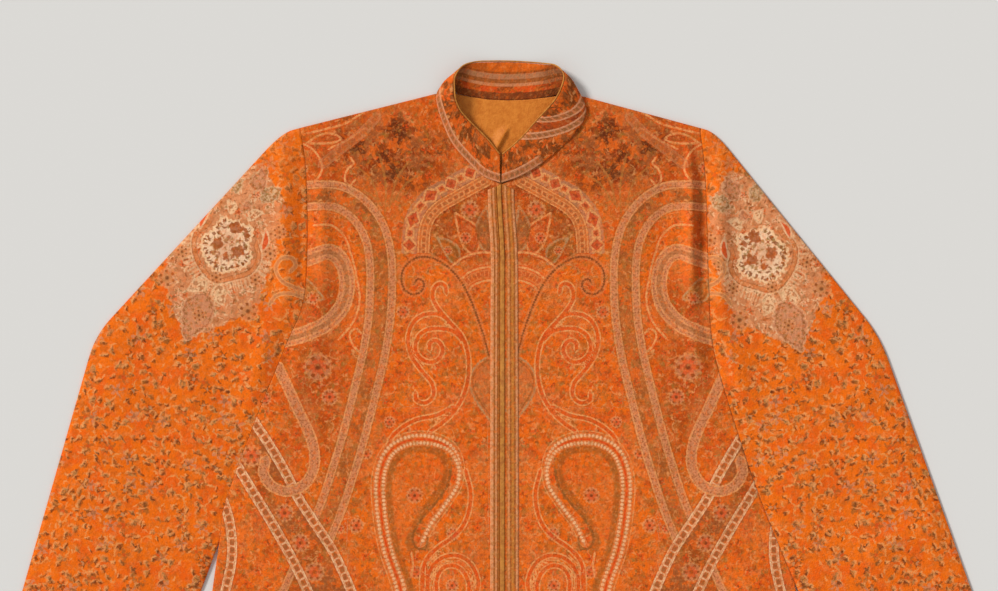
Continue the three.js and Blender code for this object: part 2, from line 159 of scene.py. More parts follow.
class Wire:
    def __init__(self, paint, socket):
        self.paint, self.socket = paint, socket

    def maths(self, operation, *values):
        return self.paint.node("ShaderNodeMath", {"operation": operation}, dict(enumerate(values)))

    def __add__(self, other):
        return self.maths("ADD", self, other)

    def __radd__(self, other):
        return self.maths("ADD", other, self)

    def __sub__(self, other):
        return self.maths("SUBTRACT", self, other)

    def __rsub__(self, other):
        return self.maths("SUBTRACT", other, self)

    def __mul__(self, other):
        return self.maths("MULTIPLY", self, other)

    def __rmul__(self, other):
        return self.maths("MULTIPLY", other, self)

    def __truediv__(self, other):
        return self.maths("DIVIDE", self, other)

    def __gt__(self, other):
        return self.maths("GREATER_THAN", self, other)

    def __lt__(self, other):
        return self.maths("LESS_THAN", self, other)

    def __abs__(self):
        return self.maths("ABSOLUTE", self)

    def __pow__(self, other):
        return self.maths("POWER", self, other)

    def sine(self):
        return self.maths("SINE", self)

    def cosine(self):
        return self.maths("COSINE", self)

    def fraction(self):
        return self.maths("FRACT", self)

    def angleOf(self, x):
        return self.maths("ARCTAN2", self, x)

    def largest(self, other):
        return self.maths("MAXIMUM", self, other)

    def out(self, name):
        return Wire(self.paint, self.socket.node.outputs[name])

    def step(self, low, high):  # 0 below low, 1 above high
        return self.paint.node("ShaderNodeMapRange", {"interpolation_type": "SMOOTHSTEP"},
                               {"Value": self, "From Min": low, "From Max": high})

    def under(self, low, high):  # 1 below low, 0 above high
        return 1 - self.step(low, high)

    def line(self, centre, half, soft=0.7):  # 1 where the value is within half of centre
        return abs(self - centre).under(half, half + soft)

    def beat(self, period):  # distance from the nearest beat of a rhythm
        return (self / period).fraction() * period - period / 2

    def dyed(self, colour, mask):
        return blend(self, colour, mask)

    def vectorMaths(self, operation, *values, output="Vector"):
        return self.paint.node("ShaderNodeVectorMath", {"operation": operation},
                               dict(enumerate((self, *values))), output)

    def moved(self, dx, dy):
        return self.vectorMaths("ADD", (dx, dy, 0))

    def noise(self, size, detail=2, roughness=0.5, name="Fac"):
        sockets = {"Vector": self, "Scale": 1 / size, "Detail": detail, "Roughness": roughness}
        return self.paint.node("ShaderNodeTexNoise", {"noise_dimensions": "2D"}, sockets, name)

    def frayed(self, size, amount):  # the same plane with its shapes pulled about, as threads do
        drift = self.noise(size, 3, 0.6, "Color")
        drift = drift.vectorMaths("MULTIPLY_ADD", (amount, amount, 0), (-amount / 2, -amount / 2, 0))
        return self.vectorMaths("ADD", drift)

    def scatter(self, size):  # the nearest point of a loose net: offset x, y, distance, angle and two chances
        net = self.paint.node("ShaderNodeTexVoronoi", {"voronoi_dimensions": "2D"},
                              {"Vector": self, "Scale": 1 / size, "Randomness": 1.0}, "Position")
        offset = self.vectorMaths("SUBTRACT", net)
        x = self.paint.node("ShaderNodeSeparateXYZ", {}, {0: offset})
        y = x.out("Y")
        reach = offset.vectorMaths("LENGTH", output="Value")
        chance = self.paint.node("ShaderNodeSeparateColor", {}, {0: net.out("Color")})
        return x, y, reach, y.angleOf(x), chance, chance.out("Green")


class Paint:
    def __init__(self, name, roughness, sheen, tint):
        self.material = bpy.data.materials.new(name)
        self.material.use_nodes = True
        self.tree = self.material.node_tree
        self.shader = self.tree.nodes["Principled BSDF"]
        looks = {"Roughness": roughness, "Specular IOR Level": 0.15,
                 "Sheen Weight": sheen, "Sheen Roughness": 0.5, "Sheen Tint": hue(tint)}
        for socket, value in looks.items():
            self.shader.inputs[socket].default_value = value

    def node(self, kind, settings, sockets, output=0):
        made = self.tree.nodes.new(kind)
        for key, value in settings.items():
            setattr(made, key, value)
        for key, value in sockets.items():
            if isinstance(value, Wire):
                self.tree.links.new(value.socket, made.inputs[key])
            else:
                made.inputs[key].default_value = value
        return Wire(self, made.outputs[output])

    def field(self, name):  # a mesh attribute as a vector, and its three numbers
        vector = self.node("ShaderNodeAttribute", {"attribute_name": name}, {}, "Vector")
        split = self.node("ShaderNodeSeparateXYZ", {}, {0: vector})
        return vector, split, split.out("Y"), split.out("Z")

    def finish(self, colour, height, distance):
        self.tree.links.new(colour.socket, self.shader.inputs["Base Color"])
        sockets = {"Strength": 0.6, "Distance": distance, "Height": height}
        bump = self.node("ShaderNodeBump", {}, sockets, "Normal")
        self.tree.links.new(bump.socket, self.shader.inputs["Normal"])
        return self.material


def hue(colour):  # a tone's name, or red, green and blue as they look, turned into light
    if isinstance(colour, Wire):
        return colour
    if isinstance(colour, str):
        colour = clothTone[colour]
    return tuple(((c / 255 + 0.055) / 1.055) ** 2.4 if c > 10 else c / 3294 for c in colour) + (1,)


def blend(under, over, mask):  # a colour with another one over it
    return mask.paint.node("ShaderNodeMix", {"data_type": "RGBA"}, {0: mask, 6: hue(under), 7: hue(over)}, 2)


def petals(reach, angle, count, size, turn, depth=0.4):  # a flower's outline as a mask
    edge = (1 - depth + depth * (angle * count + turn * fullTurn).cosine()) * size
    return (reach - edge).under(-0.6, 0.9)


def pointedLeaf(x, y, turn, length, width, core=0.4, rim=1.35):  # a leaf at a chance angle, as a mask
    angle = turn * fullTurn
    along = x * angle.cosine() + y * angle.sine()
    across = y * angle.cosine() - x * angle.sine()
    return (abs(across) / width + (along / length) ** 2).under(core, rim)


clothTone = {
    "orange": (242, 106, 10), "redOrange": (228, 74, 14), "salmon": (226, 122, 62), "pale": (240, 158, 92),
    "cream": (248, 198, 148), "brown": (140, 66, 14), "darkBrown": (96, 46, 12), "olive": (152, 108, 44),
    "rose": (216, 138, 92), "rust": (194, 72, 12), "wine": (150, 50, 18),
}


def weave(vector, strength=0.5):  # the fine twill of the cloth, as a height
    _, split, y, _ = vector
    twill = (split + y) / 1.6
    rib = (twill * fullTurn).sine() * 0.5 + 0.5
    return rib * strength + vector[0].noise(2.2, 3) * 1.4


def woven(vector, ground, strength=1.0):  # threads of other colours that break up every shape
    dark = vector.noise(4.2, 4, 0.72).step(0.5, 0.66)
    light = vector.moved(50, 20).noise(4.8, 4, 0.72).step(0.53, 0.68)
    warm = vector.moved(9, 75).noise(7, 4, 0.7).step(0.5, 0.64)
    green = vector.moved(77, 11).noise(9, 4, 0.7).step(0.55, 0.68)
    ground = ground.dyed("orange", warm * 0.42 * strength)
    ground = ground.dyed("brown", dark * 0.42 * strength)
    ground = ground.dyed("olive", green * 0.3 * strength)
    return ground.dyed("pale", light * 0.3 * strength)


def bits(vector, ground, colour, spacing, length, width, share, strength):  # scattered pointed leaves
    x, y, reach, angle, chance, second = vector.scatter(spacing)
    return blend(ground, colour, pointedLeaf(x, y, chance, length, width) * (second > 1 - share) * strength)


def blooms(vector, ground, colour, heart, spacing, size, count, share, strength):  # scattered small flowers
    x, y, reach, angle, chance, second = vector.scatter(spacing)
    shown = (second > 1 - share) * strength
    ground = blend(ground, colour, petals(reach, angle, count, size, chance) * shown)
    return ground.dyed(heart, reach.under(size * 0.22, size * 0.36) * shown)


def curls(vector, ground, colour, spacing, radius, share, strength):  # short curved stems
    x, y, reach, angle, chance, second = vector.scatter(spacing)
    part = (angle + chance * fullTurn).cosine().step(0.1, 0.4)
    swell = radius * (0.7 + second * 0.6)
    return ground.dyed(colour, (reach - swell).line(0, 0.5, 1) * part * (second > 1 - share) * strength)


def grown(vector, ground, rows):  # flowers, leaves and stems, one kind after another
    for kind, dx, dy, *row in rows:
        ground = kind(vector.moved(dx, dy) if dx or dy else vector, ground, *row)
    return ground


# What grows between the large shapes of the shawl cloth: kind, shift and what that kind takes.
shawlFilling = [
    (blooms, 3, 17, "redOrange", "brown", 19, 5.6, 5, 0.65, 0.75),
    (blooms, 51, 33, (196, 128, 70), "rust", 26, 6, 6, 0.5, 0.6),
    (bits, 31, 7, "pale", 10.5, 3.4, 1.3, 0.55, 0.55),
    (bits, -13, 57, "olive", 12.5, 3.6, 1.9, 0.55, 0.65),
    (bits, 63, 21, "brown", 11, 3, 1.6, 0.6, 0.6),
    (curls, 41, 5, "pale", 24, 6, 0.55, 0.45),
]


def filling(vector, ground):
    vector = vector.frayed(5, 7)
    patches = ((90, 13, "rust", 0.6), (20, 16, "salmon", 0.45), (150, 14, (176, 108, 40), 0.5),
               (210, 12, "brown", 0.4))
    for shift, size, colour, strength in patches:
        ground = ground.dyed(colour, vector.moved(shift, 40).noise(size, 4, 0.6).step(0.52, 0.66) * strength)
    return grown(vector, ground, shawlFilling)


# The cut: the seams that the panels share.

cut = {
    "wall": 2, "seamGap": 0.3, "seamHalf": 0.06, "seamDip": 0.15, "seamReach": 2.4,
    "layerLift": 2.4, "armholeLift": 0.5, "liftReach": 34,
    "hemHalf": 440, "hemDrop": 24, "shoulder": ((77, -38), (240, -79)),
    "armhole": {
        -1: [(-240, -79), (-233, -127), (-231, -215), (-236, -288), (-257, -340), (-294, -431), (-329, -526),
             (-337, -576)],
        1: [(240, -79), (246, -130), (249, -200), (251, -270), (257, -346), (287, -449), (318, -538),
            (354, -625)],
    },
    "neck": {
        -1: [(-77, -38), (-65, -82), (-41, -116), (-3, -145)],
        1: [(95, -40), (99, -72), (63, -112), (7, -145)],
    },
    "neckCentre": (9, -75), "neckLap": 6, "neckShare": 5 / 16, "backNeckGap": 0.7,
    "opening": {"topX": 2.4, "lowX": 6.6, "topY": -145, "lowY": -240},
    "sleeve": {
        -1: {"cap": (-262, -85, 30), "elbow": (-486, -328, 28), "cuffOuter": (-582, -664),
             "bend": (-359, -634), "cuffInner": (-395, -727)},
        1: {"cap": (258, -84, 26), "elbow": (456, -329, 30), "cuffOuter": (577, -664),
            "bend": (368, -660), "cuffInner": (394, -727)},
    },
}
lowest = cut["wall"] + cut["seamGap"]


# Creases of the upper layer: from (x1, y1) to (x2, y2), how wide, and how far it rises (or sinks).
creases = [
    (-233, -132, -236, -296, 6, -4), (-258, -122, -258, -296, 13, 7), (-214, -140, -212, -290, 11, 6.4),
    (-250, -318, -272, -396, 9, -3), (-276, -312, -304, -420, 14, 4), (-222, -318, -240, -396, 14, 3.2),
    (241, -116, 244, -292, 5, -5), (228, -104, 230, -286, 8, 11), (262, -112, 266, -316, 12, 8.6),
    (246, -296, 262, -372, 7, -3.2), (226, -300, 238, -376, 12, 4.2), (276, -322, 292, -400, 13, 3.6),
    (198, -140, 190, -262, 9, -1.6), (-300, -442, -322, -520, 9, -1.6), (300, -470, 326, -560, 9, -1.6),
    (-462, -332, -372, -352, 15, -2.4), (-478, -372, -396, -424, 18, 2.6), (-444, -296, -372, -302, 16, 2.2),
    (438, -336, 356, -362, 15, -2.4), (462, -380, 386, -432, 18, 2.6), (420, -296, 344, -308, 16, 2.2),
    (-318, -560, -262, -640, 18, 2.2), (322, -600, 258, -690, 18, 2.2), (-280, -466, -206, -600, 20, 1.8),
    (286, -490, 210, -610, 20, 1.8), (-150, -98, -110, -200, 22, 1.8), (160, -98, 118, -206, 22, 1.8),
    (-372, -1290, -318, -800, 26, 3.4), (-228, -1310, -204, -900, 24, 3), (-300, -1300, -268, -960, 22, -1.8),
    (366, -1290, 322, -840, 26, 3.4), (214, -1310, 196, -940, 24, 3), (292, -1300, 268, -980, 22, -1.8),
    (-90, -1312, -84, -1010, 26, 1.8), (100, -1312, 92, -1060, 26, 1.8), (-520, -560, -440, -596, 16, 2),
    (512, -556, 430, -600, 16, 2), (-420, -690, -468, -560, 20, 1.8), (424, -690, 462, -560, 20, 1.8),
    (-62, -180, -70, -520, 34, 1.2), (66, -190, 74, -540, 34, 1.2), (-170, -420, -196, -640, 26, 1.4),
    (176, -420, 204, -650, 26, 1.4),
]


slack = {"seed": 7, "waves": 14, "lengths": (38, 120), "height": 0.24}  # the small unevenness of old cloth


def relief(x, y):
    rise = np.zeros_like(x)
    for x1, y1, x2, y2, width, height in creases:
        dx, dy = x2 - x1, y2 - y1
        share = np.clip(((x - x1) * dx + (y - y1) * dy) / (dx * dx + dy * dy), 0, 1)
        reach = np.hypot(x - x1 - share * dx, y - y1 - share * dy)
        rise += height * np.exp(-(reach / width) ** 2) * np.sin(math.pi * (0.12 + 0.76 * share))
    chance = np.random.default_rng(slack["seed"])
    for _ in range(slack["waves"]):
        turn, length = chance.uniform(0, math.pi), chance.uniform(*slack["lengths"])
        phase = chance.uniform(0, 6.28)
        along = x * math.cos(turn) + y * math.sin(turn)
        rise += slack["height"] * np.sin(along * fullTurn / length + phase)
    return rise


def clothTop(x, y, lift):
    height = lowest + cut["layerLift"] * lift + relief(x, y) * smooth(lift * 1.6)
    return np.maximum(height, lowest) + cut["wall"]


def liftFrom(distance, edgeShare):
    return lerp(edgeShare, 1, smooth(distance / cut["liftReach"]))


def seamDip(distance):  # a seam draws the cloth beside it down
    return cut["seamDip"] * np.exp(-(distance / cut["seamReach"]) ** 2)


def openingX(y):
    opening = cut["opening"]
    share = (opening["topY"] - y) / (opening["topY"] - opening["lowY"])
    return lerp(opening["topX"], opening["lowX"], smooth(share))


def armholeLine(side):
    return curveThrough(cut["armhole"][side])


def frontEdges(side, armSteps, lowShares):  # the inner and outer edge of a front, row by row
    armhole = alongLine(armholeLine(side), armSteps) - [side * cut["seamHalf"], 0]
    neck = curveThrough(cut["neck"][side])
    turn = cut["neckShare"]
    neckShare = np.clip(armSteps / turn, 0, 1)
    inner = alongLine(neck, neckShare)
    toCentre = np.array(cut["neckCentre"]) - inner
    toCentre /= np.linalg.norm(toCentre, axis=1)[:, None]
    inner += toCentre * cut["neckLap"] * (smooth(neckShare * 6) * smooth((1 - neckShare) * 6))[:, None]
    down = armSteps >= turn
    innerY = lerp(neck[-1, 1], armhole[-1, 1], (armSteps - turn) / (1 - turn))
    inner[down] = np.stack([openingX(innerY) + side * cut["seamHalf"], innerY], axis=1)[down]
    corner = np.array([side * cut["hemHalf"], cut["hemDrop"] - garmentLength])
    lowY = lerp(armhole[-1, 1], -garmentLength, lowShares)
    inner = np.vstack([inner, np.stack([openingX(lowY) + side * cut["seamHalf"], lowY], axis=1)])
    outer = np.vstack([armhole, lerp(armhole[-1], corner, lowShares[:, None])])
    bow = np.concatenate([np.zeros(len(armSteps)), cut["hemDrop"] * lowShares ** 2])
    edgeShare = cut["armholeLift"] * np.concatenate([smooth(armSteps * 4), smooth(1 - lowShares * 6)])
    return inner, outer, bow, edgeShare


def frontSurface(edges, shares):  # points of the cloth's top at shares of each row's width
    inner, outer, bow, edgeShare = edges
    plan = lerp(inner[:, None], outer[:, None], shares[..., None])
    plan[..., 1] -= bow[:, None] * shares * (1 - shares)
    x, y = plan[..., 0], plan[..., 1]
    fromSide = (1 - shares) * np.linalg.norm(outer - inner, axis=1)[:, None]
    (neckX, neckY), (tipX, tipY) = cut["shoulder"]
    shoulderY = lerp(neckY, tipY, np.clip((np.abs(x) - neckX) / (tipX - neckX), 0, 1))
    lift = np.minimum(liftFrom(fromSide, edgeShare[:, None]), liftFrom(np.maximum(shoulderY - y, 0), 0))
    return np.dstack([x, y, clothTop(x, y, lift) - seamDip(fromSide)])


def frontRows(side):
    armSteps = np.linspace(0, 1, frontFine["armRows"])
    lowShares = np.concatenate([np.linspace(0, 0.12, 34)[1:], np.linspace(0.12, 1, frontFine["lowRows"])[1:]])
    return frontEdges(side, armSteps, lowShares)


def frontGrid(side):
    edges = frontRows(side)
    shares = np.tile(np.linspace(0, 1, frontFine["columns"]), (len(edges[0]), 1))
    return frontSurface(edges, shares)


frontFine = {"armRows": 236, "lowRows": 116, "columns": 128, "mirrorX": 3.6, "foldY": -645, "drop": 1.9}


# The woven pattern: each point of a cloth gets its distance from every drawn curve and its place along it.

class Motif:
    def __init__(self, points):
        self.points = points
        self.distance = np.full(len(points), 60.0)
        self.along = np.zeros(len(points))
        self.third = np.full(len(points), 60.0)  # the distance without its side, or a closed shape's kind

    def draw(self, line, kind=None, reach=34):
        length = np.linalg.norm(np.diff(line, axis=0), axis=1).sum()
        line = alongLine(line, np.linspace(0, 1, max(int(length / 2.5), 8)))
        near = np.all((self.points > line.min(0) - reach) & (self.points < line.max(0) + reach), axis=1)
        chosen = np.nonzero(near)[0]
        starts, steps = line[:-1], np.diff(line, axis=0)
        lengths = np.linalg.norm(steps, axis=1)
        travelled = np.concatenate([[0], np.cumsum(lengths)])[:-1]
        for part in np.array_split(chosen, max(len(chosen) // 6000, 1)):
            away = self.points[part][:, None] - starts
            share = np.clip((away * steps).sum(2) / lengths ** 2, 0, 1)
            left = away - share[..., None] * steps
            gap = np.hypot(left[..., 0], left[..., 1])
            best = gap.argmin(1)
            row = np.arange(len(part))
            side = np.sign(steps[best, 0] * away[row, best, 1] - steps[best, 1] * away[row, best, 0])
            side[side == 0] = 1
            if kind is not None:
                side = np.where(self.inside(self.points[part], line), -1, 1)
            found = gap[row, best]
            before = self.distance[part]
            better = found < np.abs(before) if kind is None else found * side < before
            self.distance[part[better]] = (found * side)[better]
            self.along[part[better]] = (travelled[best] + share[row, best] * lengths[best])[better]
            self.third[part[better]] = found[better] if kind is None else kind

    def inside(self, points, line):
        x, y = points[:, :1], points[:, 1:]
        a, b = line, np.roll(line, -1, axis=0)
        crosses = (a[:, 1] > y) != (b[:, 1] > y)
        rise = np.where(np.abs(b[:, 1] - a[:, 1]) < 1e-9, 1e-9, b[:, 1] - a[:, 1])
        beyond = x < (b[:, 0] - a[:, 0]) * (y - a[:, 1]) / rise + a[:, 0]
        return ((crosses & beyond).sum(1) % 2).astype(bool)

    def field(self):
        return np.stack([self.distance, self.along, self.third], axis=1)


def teardrop(base, tip, width, lean=0.0, count=30):  # a closed leaf from its base to its tip
    base, tip = np.array(base, float), np.array(tip, float)
    axis = tip - base
    normal = np.array([-axis[1], axis[0]]) / np.linalg.norm(axis)
    t = np.linspace(0, 1, count)
    half = width / 2 * np.sin(math.pi * t ** 0.75)
    middle = base + axis * t[:, None] + normal * (lean * np.sin(math.pi * t))[:, None]
    return np.vstack([middle + normal * half[:, None], (middle - normal * half[:, None])[-2:0:-1]])


# Curves of one front, from the centre axis outwards: distance from the axis, height, in millimetres.
bodyCurves = {
    "broad": [
        [(262, -163), (222, -160), (194, -163), (168, -182), (151, -214), (146, -262), (152, -335),
         (176, -437), (192, -492), (213, -552), (256, -650)],
    ],
    "ring": [
        [(248, -240), (230, -234), (208, -228), (193, -240), (187, -266), (193, -293), (212, -314),
         (240, -327), (266, -334)],
    ],
    "loop": [
        [(270, -366), (262, -382), (246, -417), (231, -450), (226, -474), (229, -493), (241, -509),
         (259, -515), (277, -509), (287, -494), (285, -478)],
    ],
    "arch": [
        [(20, -142), (56, -162), (80, -177), (93, -198), (96, -236)],
    ],
    "strap": [
        [(304, -424), (296, -436), (278, -463), (259, -496), (245, -524), (226, -553), (204, -587),
         (185, -628), (168, -672)],
        [(326, -470), (317, -488), (278, -552), (248, -606), (222, -662)],
        [(340, -516), (329, -548), (325, -582), (328, -612), (340, -662)],
        [(216, -122), (200, -109), (186, -98), (168, -84), (152, -66)],
    ],
    "boteh": [
        [(132, -662), (127, -635), (143, -586), (151, -540), (152, -498), (141, -467), (118, -451),
         (88, -449), (62, -461), (52, -484), (55, -508), (70, -532), (87, -555), (97, -576)],
    ],
    "tip": [
        [(62, -486), (66, -506), (80, -528), (98, -549), (107, -563), (108, -576), (101, -585),
         (92, -581), (91, -572)],
    ],
    "scroll": [
        [(68, -276), (70, -268), (77, -266), (83, -272), (84, -284), (77, -297), (64, -312), (50, -328),
         (43, -346), (41, -368), (44, -390), (53, -411), (68, -429), (87, -443)],
        [(64, -312), (76, -303), (94, -303), (108, -313), (114, -332), (110, -352), (98, -370),
         (85, -386), (84, -401), (93, -409), (104, -406), (105, -398)],
        [(50, -332), (58, -324), (72, -320), (90, -321), (102, -330), (105, -345), (97, -357), (84, -360),
         (74, -352), (73, -341), (80, -334), (88, -337), (88, -344)],
        [(60, -414), (80, -424), (106, -430), (130, -446), (140, -466)],
        [(45, -491), (39, -515), (41, -539), (49, -558), (63, -572), (80, -584), (93, -599), (97, -618),
         (97, -640)],
        [(32, -640), (30, -622), (38, -603), (52, -593), (68, -593), (82, -602), (90, -618), (90, -640)],
        [(42, -645), (41, -626), (48, -611), (60, -604), (73, -608), (80, -622), (79, -640)],
    ],
    "dark": [
        [(17, -352), (24, -326), (37, -290), (50, -264), (66, -246), (86, -235), (104, -235), (118, -246),
         (122, -260), (118, -273), (108, -279), (98, -275), (95, -265), (102, -260), (106, -265)],
    ],
    "arc": [
        [(12, -229), (30, -229), (48, -235), (64, -247)],
        [(12, -246), (26, -247), (40, -252), (52, -262)],
        [(12, -262), (24, -263), (36, -268), (42, -274)],
        [(226, -196), (206, -196), (190, -210), (182, -232), (176, -256), (172, -286), (180, -312),
         (196, -332)],
        [(250, -96), (232, -102), (220, -116), (218, -132), (230, -146), (250, -150)],
        [(236, -86), (212, -80), (190, -74), (170, -62)],
        [(208, -104), (184, -92), (166, -80)],
        [(178, -142), (184, -148), (190, -140), (186, -128), (179, -122), (183, -115)],
        [(168, -352), (180, -340), (184, -326), (176, -320), (170, -326)],
        [(110, -590), (108, -604), (110, -616)],
    ],
    "rung": [
        [(12, -254), (26, -255), (38, -260), (48, -268)],
    ],
    "stem": [
        [(141, -178), (141, -146), (148, -112)],
        [(136, -174), (128, -142), (114, -120)],
        [(147, -172), (158, -142), (174, -126)],
        [(132, -168), (116, -146), (98, -134)],
        [(150, -166), (170, -154), (186, -156)],
    ],
}
bodyLeaves = [  # base, tip, width and lean of each leaf
    ((34, -231), (58, -181), 25, 5), ((54, -243), (79, -210), 17, 4), ((15, -231), (19, -172), 20, -7),
    ((194, -92), (236, -98), 12, 3), ((246, -262), (214, -284), 24, 6), ((14, -352), (14, -432), 52, 0),
]
# Between the two crossing straps.
bodyStrip = [(311, -438), (296, -436), (259, -496), (226, -553), (185, -628), (165, -680), (216, -680),
             (248, -606), (278, -552), (317, -488), (326, -470)]
bodyRosettes = [  # centre, radius
    (40, -177, 11), (45, -211, 7), (66, -226, 5.5), (106, -520, 10), (61, -628, 8), (302, -473, 13),
    (262, -541, 11), (243, -577, 11), (226, -612, 12), (222, -366, 17), (208, -402, 10), (120, -300, 8),
    (242, -128, 8), (60, -566, 8), (104, -612, 8), (228, -283, 8), (176, -556, 9), (136, -432, 7),
    (330, -690, 12), (164, -470, 7), (286, -404, 8), (196, -560, 6), (154, -398, 6),
]


def nearestRosette(points, rosettes):
    table = np.array(rosettes, float)
    away = points[:, None] - table[:, :2]
    best = (np.hypot(away[..., 0], away[..., 1]) - table[:, 2]).argmin(1)
    row = np.arange(len(points))
    found, size = away[row, best], table[best, 2]
    size = np.where(np.hypot(found[:, 0], found[:, 1]) < size * 1.7, size, 0.01)
    return np.stack([found[:, 0], found[:, 1], size], axis=1)


def blob(points, x, y, wide, high):
    return np.exp(-((points[:, 0] - x) / wide) ** 2 - ((points[:, 1] - y) / high) ** 2)


def bodyFields(side, grid):
    flat = grid.reshape(-1, 3)
    across = (flat[:, 0] - frontFine["mirrorX"]) * side
    down = np.where(flat[:, 1] < frontFine["foldY"], 2 * frontFine["foldY"] - flat[:, 1], flat[:, 1])
    points = np.stack([across, down], axis=1)
    fields = {"plan": np.stack([across, flat[:, 1], flat[:, 2] * 0], axis=1)}
    for name, curves in bodyCurves.items():
        motif = Motif(points)
        for curve in curves:
            motif.draw(curveThrough(curve))
        fields[name] = motif.field()
    leaves = Motif(points)
    for kind, leaf in enumerate(bodyLeaves):
        leaves.draw(teardrop(*leaf), kind % 3)
    fields["leaf"] = leaves.field()
    fields["rosette"] = nearestRosette(points, bodyRosettes)
    shade = np.clip(blob(points, 136, -108, 66, 46) * 1.7, 0, 1)
    shade *= np.where(flat[:, 1] < frontFine["foldY"], 0.35, 1)
    fan = stretch(-down, 120, 160) * (1 - stretch(-down, 232, 250)) * (1 - stretch(across, 80, 104))
    sides = blob(points, 222, -392, 34, 74) * 1.5 + blob(points, 222, -290, 30, 30)
    sides = np.clip(sides + blob(points, 210, -120, 30, 30) * 0.7, 0, 1)
    # On the left front a narrow strip along the armhole joins the sides zone: painted shade for the valley of
    # the fold beside the seam.
    if side > 0:
        sides = np.maximum(sides, blob(points, 237, -196, 9, 88))
    fields["zone"] = np.stack([shade, fan, sides], axis=1)
    flowered = Motif(points)
    flowered.draw(np.array(bodyStrip, float), 1)
    fields["strip"] = flowered.field()
    return fields


def gapTo(motif, wobble=0):  # distance to a curve, kept from falling to nothing halfway between two curves
    return abs(motif[1]).largest(motif[3] - 1.5) + wobble


def unevenness(vector):  # the threads' small unevenness along every outline
    return (vector.noise(3.4, 3, 0.7) - 0.5) * 2.2


def strand(ground, gap, half, speckle, worn):  # a woven strand of speckled rose between two pale edges
    ground = ground.dyed(speckle, gap.line(0, half) * 0.85)
    return ground.dyed("pale", gap.line(half - 0.4, 0.6) * worn * 0.8)


